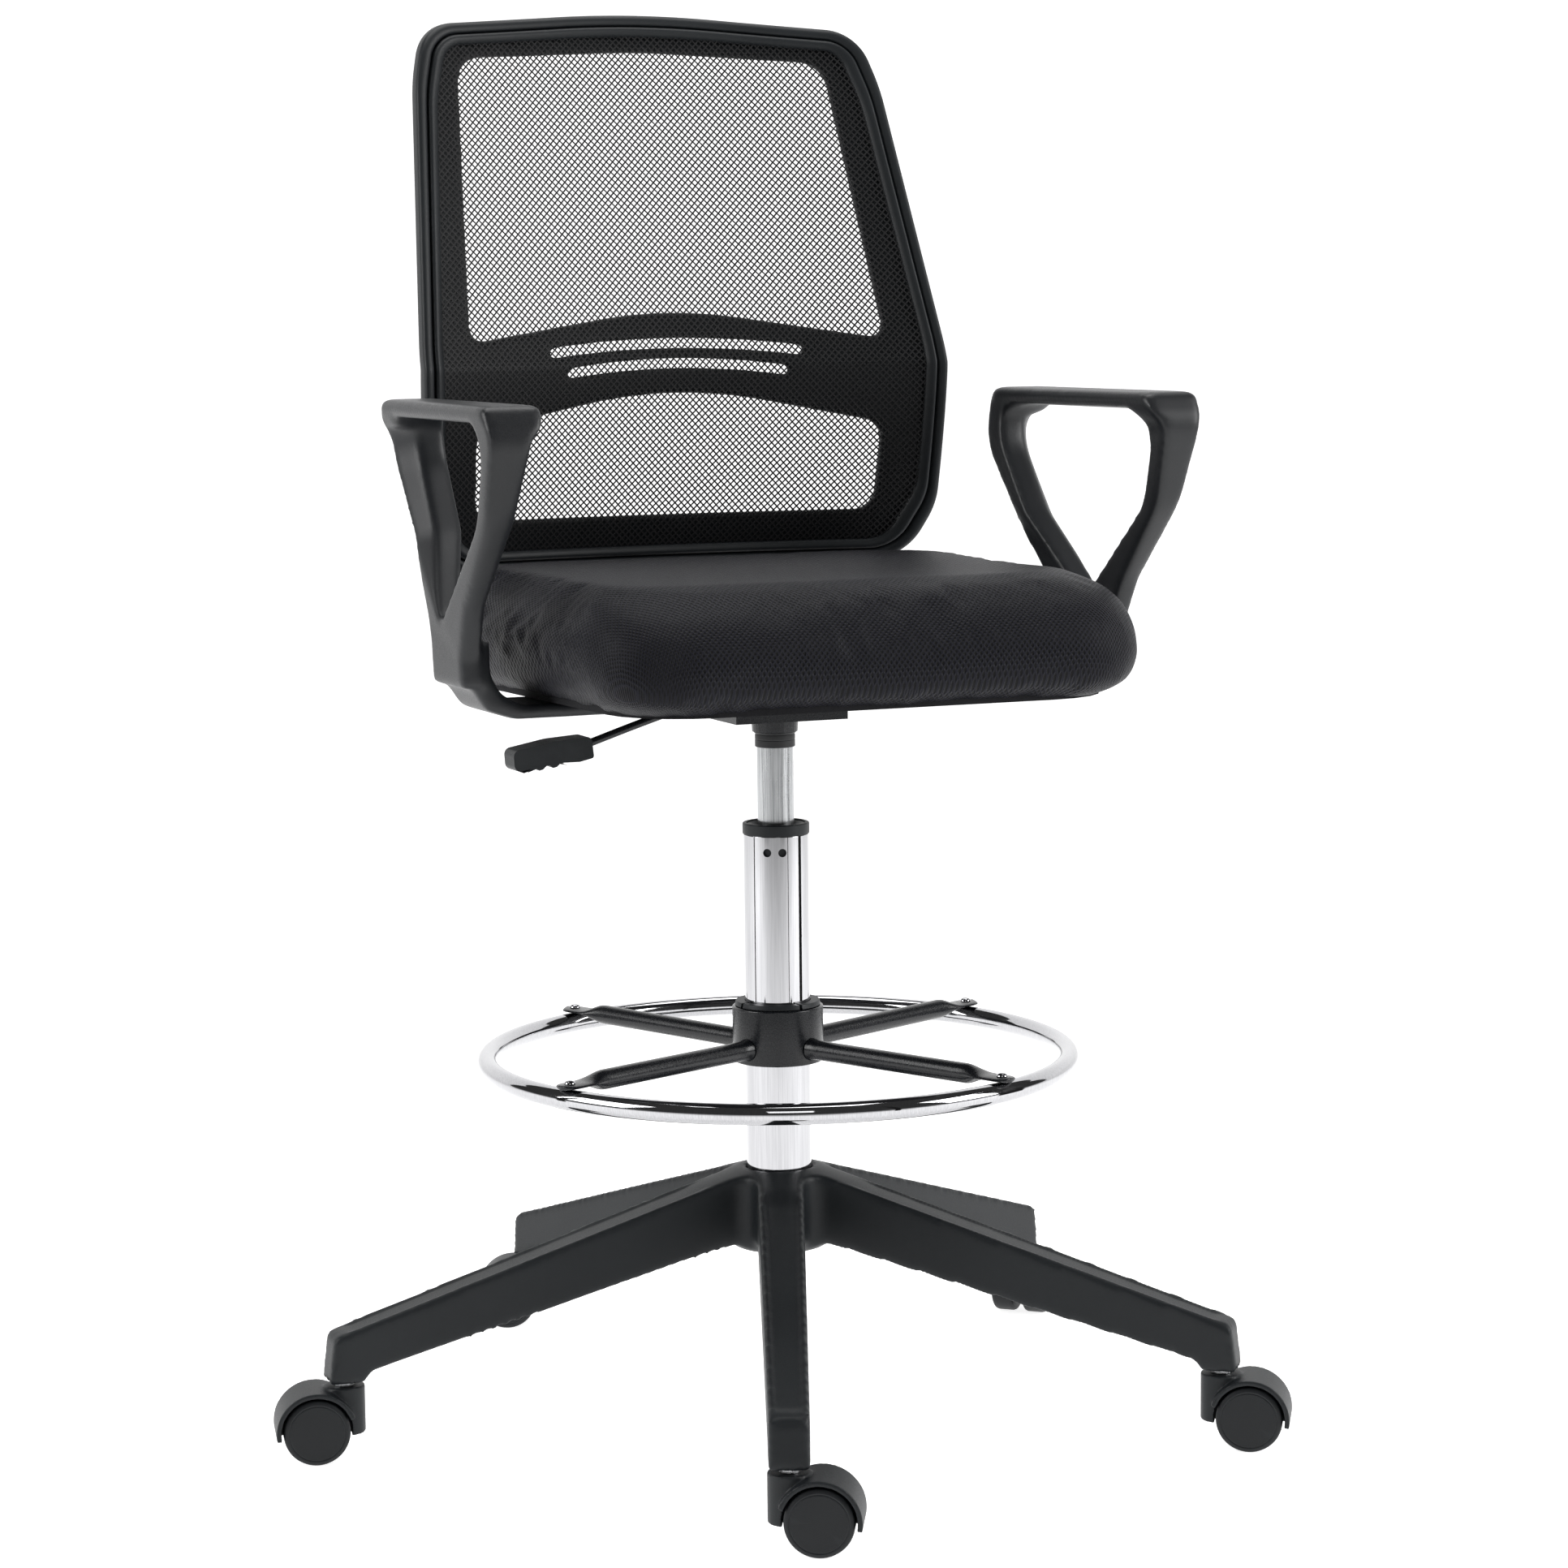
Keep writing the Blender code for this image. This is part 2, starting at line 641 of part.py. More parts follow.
def in_seat(obj, material):
    """Places a shape made in the chair's coordinates under the seat's empty."""
    obj.data.transform(Matrix.Translation((0, 0, -BOARD_BOTTOM)))
    return place(obj, material, SEAT_EMPTY)


def seat_outline(inset, front_inset=None):
    half = SEAT_HALF_WIDTH - inset
    front = SEAT_FRONT + (inset if front_inset is None else front_inset)
    rear = SEAT_REAR - inset
    return rounded_outline(
        [
            (-half + 18 * MM, front, 62 * MM, 5),
            (half - 18 * MM, front, 62 * MM, 5),
            (half, rear, 75 * MM, 5),
            (-half, rear, 75 * MM, 5),
        ]
    )


def make_seat():
    board = extruded("seat_board", [seat_outline(28 * MM)], BOARD_THICKNESS)
    board.data.transform(Matrix.Translation((0, 0, BOARD_BOTTOM + BOARD_THICKNESS / 2)))
    in_seat(board, PLYWOOD)
    # Side inset, front inset and height of each ring, from the underside up to the crown.
    sections = [(26, 26, 0), (13, 13, 2.5), (4, 4, 11), (0, 0, 30), (2, 5, 53)]
    sections += [(6, 18, 70), (14, 40, 83), (32, 75, 89)]
    rings = [
        [(x, y, SEAT_BOTTOM + height * MM) for x, y in seat_outline(side * MM, front * MM)]
        for side, front, height in sections
    ]
    cushion = in_seat(lofted("seat_cushion", rings), FABRIC)
    pocket = extruded("board_pocket", [seat_outline(28 * MM - GAP)], 60 * MM)
    height = BOARD_BOTTOM + BOARD_THICKNESS + GAP - 30 * MM
    boolean(cushion, hide_cutter(pocket, ROOT, (0, 0, height)), "DIFFERENCE")


def make_mechanism():
    """A pressed plate with a box around the lever and a cone socket for the gas lift."""
    plate_top = BOARD_BOTTOM - GAP
    plate = in_seat(
        box("mechanism_plate", (-85 * MM, -75 * MM, plate_top - 3 * MM), (85 * MM, 75 * MM, plate_top)),
        BLACK_STEEL,
    )
    floor = 551 * MM
    body = hide_cutter(
        box("mechanism_box", (-46 * MM, -34 * MM, floor), (46 * MM, 34 * MM, plate_top - 1 * MM)), ROOT
    )
    boolean(plate, body, "UNION")
    socket = [(18.5 * MM, 560 * MM), (17.5 * MM, 541 * MM), (0, 541 * MM)]
    socket = [(0, 560 * MM)] + socket
    boolean(plate, hide_cutter(turned("lift_socket", socket, 32), ROOT), "UNION")
    room = box("mechanism_room", (-43 * MM, -31 * MM, floor + 3 * MM), (43 * MM, 31 * MM, plate_top + 5 * MM))
    boolean(plate, hide_cutter(room, ROOT), "DIFFERENCE")
    bore = cylinder("lift_bore", CYLINDER_RADIUS + GAP, 40 * MM, 32)
    boolean(plate, hide_cutter(bore, ROOT, (0, 0, 530 * MM)), "DIFFERENCE")
    slot = box("lever_slot", (-60 * MM, -13 * MM, 558.5 * MM), (-40 * MM, 5 * MM, 573 * MM))
    boolean(plate, hide_cutter(slot, ROOT), "DIFFERENCE")
    lip = CYLINDER_RADIUS + 0.4 * MM
    boot = [
        (16.5 * MM, 540.7 * MM),
        (14.9 * MM, 539 * MM),
        (15.4 * MM, 538.5 * MM),
        (15.4 * MM, 529.5 * MM),
        (lip, 529 * MM),
        (lip, 540.7 * MM),
    ]
    in_seat(turned("gas_lift_boot", boot, 24, closed=True), RUBBER)


def make_lever():
    path = [
        (4, 0, 566),
        (-50, -4, 566),
        (-70, -6, 564.5),
        (-88, -9, 561),
        (-120, -13, 552.5),
        (-158, -17, 541.5),
    ]
    pivot = Vector(LEVER_PIVOT)
    points = [Vector(point) * MM - pivot for point in path]
    rod = tube_along("lever_rod", points, 3 * MM, 2)
    smooth_place(rod, STEEL, LEVER_EMPTY)
    grip_outline = rounded_outline(
        [
            (-221, 526, 5, 3),
            (-213, 523.5, 2, 2),
            (-165, 530.5, 3, 2),
            (-158.4, 532, 2, 2),
            (-160.4, 548, 4, 3),
            (-222, 540, 5, 3),
        ]
    )
    outline = [(u * MM - pivot.x, v * MM - pivot.z) for u, v in grip_outline]
    grip = extruded("lever_handle", [outline], 22 * MM, "XZ")
    grip.data.transform(Matrix.Translation((0, -19 * MM, 0)))
    place(grip, NYLON, LEVER_EMPTY)


def arm_outline():
    corners = [
        (103, 797, 14, 4),
        (-160, 797, 24, 5),
        (-161, 768, 30, 3),
        (-137, 712, 60, 3),
        (-77, 650, 60, 4),
        (-59, 612, 0, 0),
        (-58, 590, 0, 0),
        (12, 590, 0, 0),
        (12, 630, 40, 3),
        (54, 690, 60, 3),
        (109, 755, 45, 3),
    ]
    return rounded_outline([(y * MM, z * MM, r * MM, n) for y, z, r, n in corners])


def arm_hole():
    corners = [
        (80, 784, 12, 3),
        (-130, 784, 16, 4),
        (-134, 758, 25, 3),
        (-114, 712, 50, 3),
        (-16, 636, 10, 4),
        (40, 700, 50, 3),
        (82, 757, 40, 3),
    ]
    return rounded_outline([(y * MM, z * MM, r * MM, n) for y, z, r, n in corners])


# Heights of the loop's legs, with how far out their inner and outer faces lie.
FRONT_LEG = [(590, 253, 270), (650, 257, 274), (685, 257, 276), (722, 254, 278), (772, 249, 281), (783, 239, 283)]
REAR_LEG = [(590, 253, 270), (625, 250, 271), (650, 238, 270), (722, 232, 267), (760, 232, 268), (783, 234, 277)]


def leg_faces(height, table):
    """The inner and outer faces' distance from the middle at this height."""
    last = table[0]
    for row in table:
        if row[0] * MM >= height:
            share = (height / MM - last[0]) / max(row[0] - last[0], 1)
            return tuple((a + (b - a) * share) * MM for a, b in zip(last[1:], row[1:]))
        last = row
    return last[1] * MM, last[2] * MM


def make_armrest(side, name):
    loop = extruded(name, [arm_outline(), arm_hole()], ARM_LEG_WIDTH, "YZ")
    middle = ARM_INNER_FACE + ARM_LEG_WIDTH / 2
    loop.data.transform(Matrix.Translation((side * middle, 0, 0)))
    in_seat(loop, NYLON)
    # The loop toes in towards the rear, and its legs thin as they go down to one stalk.
    inside = [Vector(point) for point in arm_hole()]
    for vert in loop.data.vertices:
        height = vert.co.z + BOARD_BOTTOM
        front_inner, front_outer = leg_faces(height, FRONT_LEG)
        rear_inner, rear_outer = leg_faces(height, REAR_LEG)
        on_hole = min((Vector((vert.co.y, height)) - point).length for point in inside) < 0.1 * MM
        if on_hole and 655 * MM < height < 778 * MM:
            rear_outer = rear_inner + 22 * MM
        rear = min(max((vert.co.y + 20 * MM) / (50 * MM), 0), 1)
        near = front_inner + (rear_inner - front_inner) * rear
        far = front_outer + (rear_outer - front_outer) * rear
        vert.co.x = side * (near if side * vert.co.x < middle else far)
    inner = side * (ARM_INNER_FACE - 2 * MM)
    outer = inner + side * PAD_WIDTH
    low = (min(inner, outer), -154 * MM, PAD_TOP - 13 * MM)
    high = (max(inner, outer), 99 * MM, PAD_TOP)
    pad = hide_cutter(box(name + "_pad", low, high), ROOT)
    for vert in pad.data.vertices:
        vert.co.x -= side * ARM_TOE_IN * (vert.co.y + 154 * MM)
    bevel(pad, 6 * MM, 2)
    boolean(loop, pad, "UNION")
    foot_profile = [
        (246, 625),
        (246, 600),
        (238, 585),
        (222, 576.7),
        (120, 576.7),
        (120, 566),
        (228, 566),
        (250, 573),
        (262, 592),
        (265, 625),
    ]
    foot = extruded(name + "_foot", [[(side * x * MM, z * MM) for x, z in foot_profile]], 66 * MM, "XZ")
    boolean(loop, hide_cutter(foot, ROOT, (0, -22 * MM, 0)), "UNION")


# Backrest ---------------------------------------------------------------------------------


def back_depth(x, z):
    """How far behind the column the front of the backrest lies."""
    edge = 153 * MM + 73 * MM * max(z - 0.817, 0) / 0.224
    edge += 29 * MM * (max(0.817 - z, 0) / 0.162) ** 1.5
    return edge + BACK_HOLLOW * (1 - (x / 0.226) ** 2)


def back_slab(name, front, rear):
    """A curved slab, larger than the backrest, between two depths from its front surface."""

    def fill(shape):
        bmesh.ops.create_grid(shape, x_segments=10, y_segments=14, size=1)
        for vert in shape.verts:
            x = vert.co.x * 0.26
            z = 0.876 + vert.co.y * 0.25
            vert.co = (x, back_depth(x, z) + front, z)
        walls = bmesh.ops.extrude_face_region(shape, geom=shape.faces[:])
        moved = [item for item in walls["geom"] if isinstance(item, bmesh.types.BMVert)]
        bmesh.ops.translate(shape, vec=(0, rear - front, 0), verts=moved)

    return mesh_object(name, fill)


def back_outline(inset):
    """The backrest's outline seen from the front, moved in by the inset."""
    corners = [
        (199, 655, 44, 6),
        (221, 700, 60, 3),
        (223.5, 822, 260, 4),
        (200, 1040, 160, 3),
        (187, 1086, 36, 6),
        (0, 1100, 900, 4),
    ]
    shrink = inset / MM
    right = []
    for x, z, radius, steps in corners:
        up = (z - 876) / 221
        x_new = max(x - shrink, 0) if x else 0
        right.append((x_new, z - shrink * up, max(radius - shrink, 4), steps))
    left = [(-x, z, radius, steps) for x, z, radius, steps in reversed(right) if x]
    return rounded_outline([(x * MM, z * MM, r * MM, n) for x, z, r, n in right + left])


def through_back(name, outline):
    """A prism along Y through the whole backrest."""
    prism = extruded(name, [outline], 0.3, "XZ")
    return hide_cutter(prism, ROOT, (0, 0.22, 0))


def upper_opening():
    corners = [(165, 1060, 22, 4), (0, 1068, 700, 3), (-165, 1060, 22, 4)]
    corners += [(-196, 838, 10, 3), (0, 869, 400, 4), (196, 838, 10, 3)]
    return rounded_outline([(x * MM, z * MM, r * MM, n) for x, z, r, n in corners])


def lower_opening():
    corners = [(189, 768, 16, 4), (0, 802, 400, 4), (-189, 768, 16, 4)]
    corners += [(-186, 697, 16, 4), (0, 697, 0, 0), (186, 697, 16, 4)]
    return rounded_outline([(x * MM, z * MM, r * MM, n) for x, z, r, n in corners])


def lumbar_slot(half, height):
    """A long slot that rises to its middle, with blunt ends."""
    top = [(half * (1 - i / 4), height + 4 + 7 * (1 - (1 - i / 4) ** 2)) for i in range(9)]
    bottom = [(x, z - 7.5) for x, z in reversed(top)]
    return [(x * MM, z * MM) for x, z in top + bottom]


def make_back():
    lip, panel_front = 0 * MM, 8 * MM
    rim = 9 * MM
    shell = in_seat(back_slab("back_shell", lip, BACK_THICKNESS), NYLON)
    boolean(shell, through_back("shell_outline", back_outline(0)), "INTERSECT")
    pocket = hide_cutter(back_slab("shell_pocket", -30 * MM, panel_front), ROOT)
    boolean(pocket, through_back("pocket_outline", back_outline(rim)), "INTERSECT")
    boolean(shell, pocket, "DIFFERENCE")
    openings = [
        ("upper_opening", upper_opening()),
        ("lower_opening", lower_opening()),
        ("lumbar_slot_upper", lumbar_slot(103, 828)),
        ("lumbar_slot_lower", lumbar_slot(90, 812)),
    ]
    for name, outline in openings:
        boolean(shell, through_back(name, outline), "DIFFERENCE")
    ring = in_seat(back_slab("back_ring", -1 * MM, panel_front - GAP), NYLON)
    boolean(ring, through_back("ring_outline", back_outline(rim + GAP)), "INTERSECT")
    boolean(ring, through_back("ring_hole", back_outline(rim + 9 * MM)), "DIFFERENCE")
    mesh = in_seat(back_slab("back_mesh", 2 * MM, 4 * MM), FABRIC)
    boolean(mesh, through_back("mesh_outline", back_outline(rim + 9.4 * MM)), "INTERSECT")


def make_bracket():
    """A flat bar bent up from under the seat to behind the backrest."""
    under = BOARD_BOTTOM / MM - 0.3
    line = [
        (78, under),
        (78, under - 6),
        (214, under - 6),
        (233, under + 6),
        (238, under + 30),
        (235, 655),
        (227, 694),
        (220, 694),
        (228, 655),
        (232, under + 32),
        (224, under + 10),
        (210, under),
    ]
    bar = extruded("back_bracket", [[(y * MM, z * MM) for y, z in line]], 62 * MM, "YZ")
    in_seat(bar, BLACK_STEEL)


make_base()
make_column()
make_gas_lift()
make_footring()
make_seat()
make_mechanism()
make_lever()
make_armrest(-1, "armrest_left")
make_armrest(1, "armrest_right")
make_back()
make_bracket()
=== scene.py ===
# %% [markdown]
# A drafting chair, finished piece by piece over its engineering model.
# The engineering model has every solid and joint at its true size, but its surfaces are coarse.
# This lesson gives each visible piece a finer surface and a material, and each piece rides on
# the body that carries it, so that the chair still turns, rises and rolls.

# %% Load the engineering model
import math

import bmesh
import bpy
from mathutils import Matrix, Vector, noise


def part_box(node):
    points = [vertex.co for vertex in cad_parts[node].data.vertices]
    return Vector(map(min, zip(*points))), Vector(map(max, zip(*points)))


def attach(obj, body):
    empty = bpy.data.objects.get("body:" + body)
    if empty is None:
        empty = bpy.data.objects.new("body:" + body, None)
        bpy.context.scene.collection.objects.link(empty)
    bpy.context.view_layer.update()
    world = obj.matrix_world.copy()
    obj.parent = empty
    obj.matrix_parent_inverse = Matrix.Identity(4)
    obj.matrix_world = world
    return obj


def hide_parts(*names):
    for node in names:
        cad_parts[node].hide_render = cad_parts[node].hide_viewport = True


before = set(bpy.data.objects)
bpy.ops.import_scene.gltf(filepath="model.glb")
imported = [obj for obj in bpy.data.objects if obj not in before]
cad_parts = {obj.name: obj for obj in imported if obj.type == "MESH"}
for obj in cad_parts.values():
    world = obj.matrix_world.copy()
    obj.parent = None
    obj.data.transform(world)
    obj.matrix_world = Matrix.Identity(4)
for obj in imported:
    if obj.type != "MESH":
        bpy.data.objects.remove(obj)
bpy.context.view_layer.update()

MM = 0.001
column_low, column_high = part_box("column_tube")
COLUMN = Vector(((column_low[0] + column_high[0]) / 2, (column_low[1] + column_high[1]) / 2, 0))
print("column axis at", [round(value, 4) for value in COLUMN])

# %% [markdown]
# The camera stands in front and to the left, a little above the armrests, with a long lens.
# A long lens keeps upright lines almost parallel, as in a catalogue picture. The camera turns
# about the column, so its place is written as a turn followed by a step back.

# %% Camera
lens_data = bpy.data.cameras.new("studio_camera")
lens_data.sensor_width = 36
lens_data.lens = 91.65
lens_data.clip_end = 60
studio_camera = bpy.data.objects.new("studio_camera", lens_data)
bpy.context.scene.collection.objects.link(studio_camera)
step_back = Matrix.Translation((0.00657, -3.0337, 0.8649))
look_down = Matrix.Rotation(math.pi / 2 - 0.122, 4, "X") @ Matrix.Rotation(-0.010, 4, "Z")
studio_camera.matrix_world = (
    Matrix.Translation(COLUMN) @ Matrix.Rotation(-0.405, 4, "Z") @ step_back @ look_down
)
bpy.context.scene.camera = studio_camera
print("camera at", [round(value, 2) for value in studio_camera.matrix_world.translation])

# %% [markdown]
# The studio is a pale floor that sweeps up into a backdrop, so that no horizon line shows.
# Large lamps give soft light. Chrome shows only what it mirrors, so three dark cards stand
# round the chair to draw the dark upright lines that make chrome look like metal. The camera
# itself doesn't see the cards. The surround is dim, so that black plastic stays black.

# %% Floor and backdrop
def plain_stage_material(name, color, roughness):
    material = bpy.data.materials.new(name)
    material.use_nodes = True
    shader = material.node_tree.nodes["Principled BSDF"]
    shader.inputs["Base Color"].default_value = (*color, 1)
    shader.inputs["Roughness"].default_value = roughness
    shader.inputs["Specular IOR Level"].default_value = 0.1
    return material


def glow_towards_the_wall(tree):
    """White paper lit from behind: bright under the chair and beyond it, dim in front."""
    shader = tree.nodes["Principled BSDF"]
    shader.inputs["Emission Color"].default_value = (1, 1, 1, 1)
    split = tree.nodes.new("ShaderNodeSeparateXYZ")
    tree.links.new(tree.nodes.new("ShaderNodeTexCoord").outputs["Object"], split.inputs[0])
    level = tree.nodes.new("ShaderNodeMapRange")
    tree.links.new(split.outputs["Y"], level.inputs["Value"])
    for label, number in (("From Min", -3.2), ("From Max", -1.2), ("To Min", 0.25), ("To Max", 0.85)):
        level.inputs[label].default_value = number
    tree.links.new(level.outputs["Result"], shader.inputs["Emission Strength"])


def make_sweep():
    """A floor that turns up into a wall through a quarter circle."""
    shape = bmesh.new()
    start = [shape.verts.new((-12, -9, 0)), shape.verts.new((12, -9, 0))]
    edge = shape.edges.new(start)
    floor = bmesh.ops.extrude_edge_only(shape, edges=[edge])["geom"]
    back = [item for item in floor if isinstance(item, bmesh.types.BMVert)]
    bmesh.ops.translate(shape, vec=(0, 14, 0), verts=back)
    edges = [item for item in floor if isinstance(item, bmesh.types.BMEdge)]
    edge = [item for item in edges if set(item.verts) == set(back)]
    turned_up = bmesh.ops.spin(
        shape, geom=edge + back, cent=(0, 5, 2), axis=(1, 0, 0), angle=math.pi / 2, steps=24
    )["geom_last"]
    edge = [item for item in turned_up if isinstance(item, bmesh.types.BMEdge)]
    wall = bmesh.ops.extrude_edge_only(shape, edges=edge)["geom"]
    top = [item for item in wall if isinstance(item, bmesh.types.BMVert)]
    bmesh.ops.translate(shape, vec=(0, 0, 5), verts=top)
    mesh = bpy.data.meshes.new("studio_sweep")
    bmesh.ops.recalc_face_normals(shape, faces=shape.faces)
    shape.to_mesh(mesh)
    shape.free()
    mesh.shade_smooth()
    paper = plain_stage_material("pale_paper", (0.6, 0.6, 0.6), 0.9)
    glow_towards_the_wall(paper.node_tree)
    mesh.materials.append(paper)
    sweep = bpy.data.objects.new("studio_sweep", mesh)
    bpy.context.scene.collection.objects.link(sweep)
    return sweep


make_sweep().matrix_world = Matrix.Rotation(-0.405, 4, "Z")
print("floor and backdrop made")

# %% Lamps and dark cards
def add_lamp(name, where, size, power):
    """A square lamp that points at the chair's middle."""
    lamp_data = bpy.data.lights.new(name, "AREA")
    lamp_data.size = size
    lamp_data.energy = power
    lamp = bpy.data.objects.new(name, lamp_data)
    bpy.context.scene.collection.objects.link(lamp)
    place = Matrix.Rotation(-0.405, 3, "Z") @ Vector(where)
    aim = (Vector((0, 0, 0.5)) - place).to_track_quat("-Z", "Y")
    lamp.matrix_world = Matrix.Translation(place) @ aim.to_matrix().to_4x4()


def add_dark_card(name, where, width, height):
    """An upright black card that only mirrors see."""
    shape = bmesh.new()
    bmesh.ops.create_grid(shape, x_segments=1, y_segments=1, size=0.5)
    bmesh.ops.scale(shape, vec=(width, height, 1), verts=shape.verts)
    place = Matrix.Rotation(-0.405, 3, "Z") @ Vector(where)
    facing = (COLUMN + Vector((0, 0, where[2])) - place).to_track_quat("Z", "Y")
    bmesh.ops.transform(
        shape, matrix=Matrix.Translation(place) @ facing.to_matrix().to_4x4(), verts=shape.verts
    )
    mesh = bpy.data.meshes.new(name)
    shape.to_mesh(mesh)
    shape.free()
    mesh.materials.append(plain_stage_material(name + "_black", (0.01, 0.01, 0.01), 0.8))
    card = bpy.data.objects.new(name, mesh)
    bpy.context.scene.collection.objects.link(card)
    card.visible_camera = False
    card.visible_diffuse = False
    card.visible_shadow = False


add_lamp("left_lamp", (-3.0, -0.9, 1.9), 2.0, 80)
add_lamp("right_lamp", (3.1, -0.5, 1.7), 2.0, 95)
add_lamp("front_lamp", (0.4, -4.4, 3.0), 1.4, 12)
add_lamp("top_lamp", (0, 0.5, 3.2), 2.2, 55)
add_dark_card("left_card", (-1.7, -0.2, 0.4), 0.14, 2.4)
add_dark_card("right_card", (1.7, 0.05, 0.4), 0.40, 2.4)
add_dark_card("narrow_card", (1.2, -1.3, 0.4), 0.07, 2.4)
world = bpy.data.worlds.new("studio_world")
world.use_nodes = True
world.node_tree.nodes["Background"].inputs["Color"].default_value = (1, 1, 1, 1)


def light_the_horizon(tree):
    """A dim surround with a paler band just under the horizon, for chrome to mirror."""
    split = tree.nodes.new("ShaderNodeSeparateXYZ")
    tree.links.new(tree.nodes.new("ShaderNodeTexCoord").outputs["Generated"], split.inputs[0])
    level = tree.nodes.new("ShaderNodeMapRange")
    level.interpolation_type = "SMOOTHSTEP"
    away = tree.nodes.new("ShaderNodeMath")
    away.operation = "SUBTRACT"
    away.inputs[1].default_value = -0.12
    size = tree.nodes.new("ShaderNodeMath")
    size.operation = "ABSOLUTE"
    tree.links.new(split.outputs["Z"], away.inputs[0])
    tree.links.new(away.outputs[0], size.inputs[0])
    tree.links.new(size.outputs[0], level.inputs["Value"])
    for label, number in (("From Min", 0.08), ("From Max", 0.2), ("To Min", 0.85), ("To Max", 0.05)):
        level.inputs[label].default_value = number
    tree.links.new(level.outputs["Result"], tree.nodes["Background"].inputs["Strength"])


light_the_horizon(world.node_tree)
bpy.context.scene.world = world
bpy.context.scene.view_settings.view_transform = "Standard"
print("four lamps, three cards and a dim surround")

# %% [markdown]
# Several finishes share one effect, such as the fine spark-eroded grain of moulded plastic.
# Each shared effect is a node group with named inputs, built once. The shader itself stays in
# each material, where its even values are set directly.

# %% Helpers for node groups
def new_group(name, inputs, outputs):
    """A shader node group with float inputs and outputs."""
    group = bpy.data.node_groups.new(name, "ShaderNodeTree")
    for label, value in inputs:
        socket = group.interface.new_socket(name=label, in_out="INPUT", socket_type="NodeSocketFloat")
        socket.default_value = value
    for label in outputs:
        group.interface.new_socket(name=label, in_out="OUTPUT", socket_type="NodeSocketFloat")
    return group, group.nodes.new("NodeGroupInput"), group.nodes.new("NodeGroupOutput")


def math_node(tree, operation, first, second=0.5):
    """A Math node fed by sockets or plain numbers."""
    node = tree.nodes.new("ShaderNodeMath")
    node.operation = operation
    for socket, value in zip(node.inputs, (first, second)):
        if isinstance(value, (int, float)):
            socket.default_value = value
        else:
            tree.links.new(value, socket)
    return node.outputs[0]


def range_node(tree, value, from_low, from_high, to_low, to_high):
    """A Map Range node that clamps."""
    node = tree.nodes.new("ShaderNodeMapRange")
    tree.links.new(value, node.inputs["Value"])
    for label, number in (
        ("From Min", from_low), ("From Max", from_high), ("To Min", to_low), ("To Max", to_high)
    ):
        node.inputs[label].default_value = number
    return node.outputs["Result"]


def noise_node(tree, vector, scale, detail=2.0):
    """A Noise texture read at this vector. The scale is a number or a socket."""
    node = tree.nodes.new("ShaderNodeTexNoise")
    tree.links.new(vector, node.inputs["Vector"])
    if isinstance(scale, (int, float)):
        node.inputs["Scale"].default_value = scale
    else:
        tree.links.new(scale, node.inputs["Scale"])
    node.inputs["Detail"].default_value = detail
    return node.outputs["Fac"]


print("node helpers ready")

# %% Moulded grain
def make_grain_group():
    """Fine grain, a slow drift of tone, and light rubbing on outer corners."""
    group, given, result = new_group(
        "moulded_grain", [("Scale", 1500.0), ("Drift", 9.0)], ["Height", "Tone", "Rub"]
    )
    where = group.nodes.new("ShaderNodeTexCoord").outputs["Object"]
    fine = noise_node(group, where, given.outputs["Scale"], 3)
    slow = noise_node(group, where, given.outputs["Drift"], 4)
    smudge = noise_node(group, where, 55, 5)
    bend = group.nodes.new("ShaderNodeNewGeometry").outputs["Pointiness"]
    corner = range_node(group, bend, 0.52, 0.62, 0, 1)
    patchy = range_node(group, smudge, 0.35, 0.7, 0, 1)
    group.links.new(fine, result.inputs["Height"])
    group.links.new(slow, result.inputs["Tone"])
    group.links.new(math_node(group, "MULTIPLY", corner, patchy), result.inputs["Rub"])
    return group


GRAIN = make_grain_group()
print("group", GRAIN.name)

# %% Drawn metal
def make_drawn_group():
    """Fine lines along Z, as left on tube and rod by drawing and grinding."""
    group, given, result = new_group("drawn_metal", [("Fineness", 900.0)], ["Lines", "Smudge"])
    where = group.nodes.new("ShaderNodeTexCoord").outputs["Object"]
    stretch = group.nodes.new("ShaderNodeMapping")
    stretch.inputs["Scale"].default_value = (1, 1, 0.02)
    group.links.new(where, stretch.inputs["Vector"])
    lines = noise_node(group, stretch.outputs["Vector"], given.outputs["Fineness"], 3)
    smudge = noise_node(group, where, 28, 5)
    group.links.new(lines, result.inputs["Lines"])
    group.links.new(smudge, result.inputs["Smudge"])
    return group


DRAWN = make_drawn_group()
print("group", DRAWN.name)

# %% [markdown]
# Every hard finish is one Principled shader with the group's tone, roughness and bump.
# The even values, such as how metallic it is, stay on the shader's own sockets.

# %% Hard finishes
def blank_material(name, color, metallic=0.0, **even):
    material = bpy.data.materials.new(name)
    material.use_nodes = True
    shader = material.node_tree.nodes["Principled BSDF"]
    shader.inputs["Base Color"].default_value = (*color, 1)
    shader.inputs["Metallic"].default_value = metallic
    for label, value in even.items():
        shader.inputs[label.replace("_", " ")].default_value = value
    return material, shader


def mixed_color(tree, share, first, second):
    node = tree.nodes.new("ShaderNodeMix")
    node.data_type = "RGBA"
    tree.links.new(share, node.inputs["Factor"])
    node.inputs["A"].default_value = (*first, 1)
    node.inputs["B"].default_value = (*second, 1)
    return node.outputs["Result"]


def color_into(tree, shader, share, first, second):
    tree.links.new(mixed_color(tree, share, first, second), shader.inputs["Base Color"])


def bump_into(tree, shader, height, strength, distance):
    bump = tree.nodes.new("ShaderNodeBump")
    bump.inputs["Strength"].default_value = strength
    bump.inputs["Distance"].default_value = distance
    tree.links.new(height, bump.inputs["Height"])
    tree.links.new(bump.outputs["Normal"], shader.inputs["Normal"])


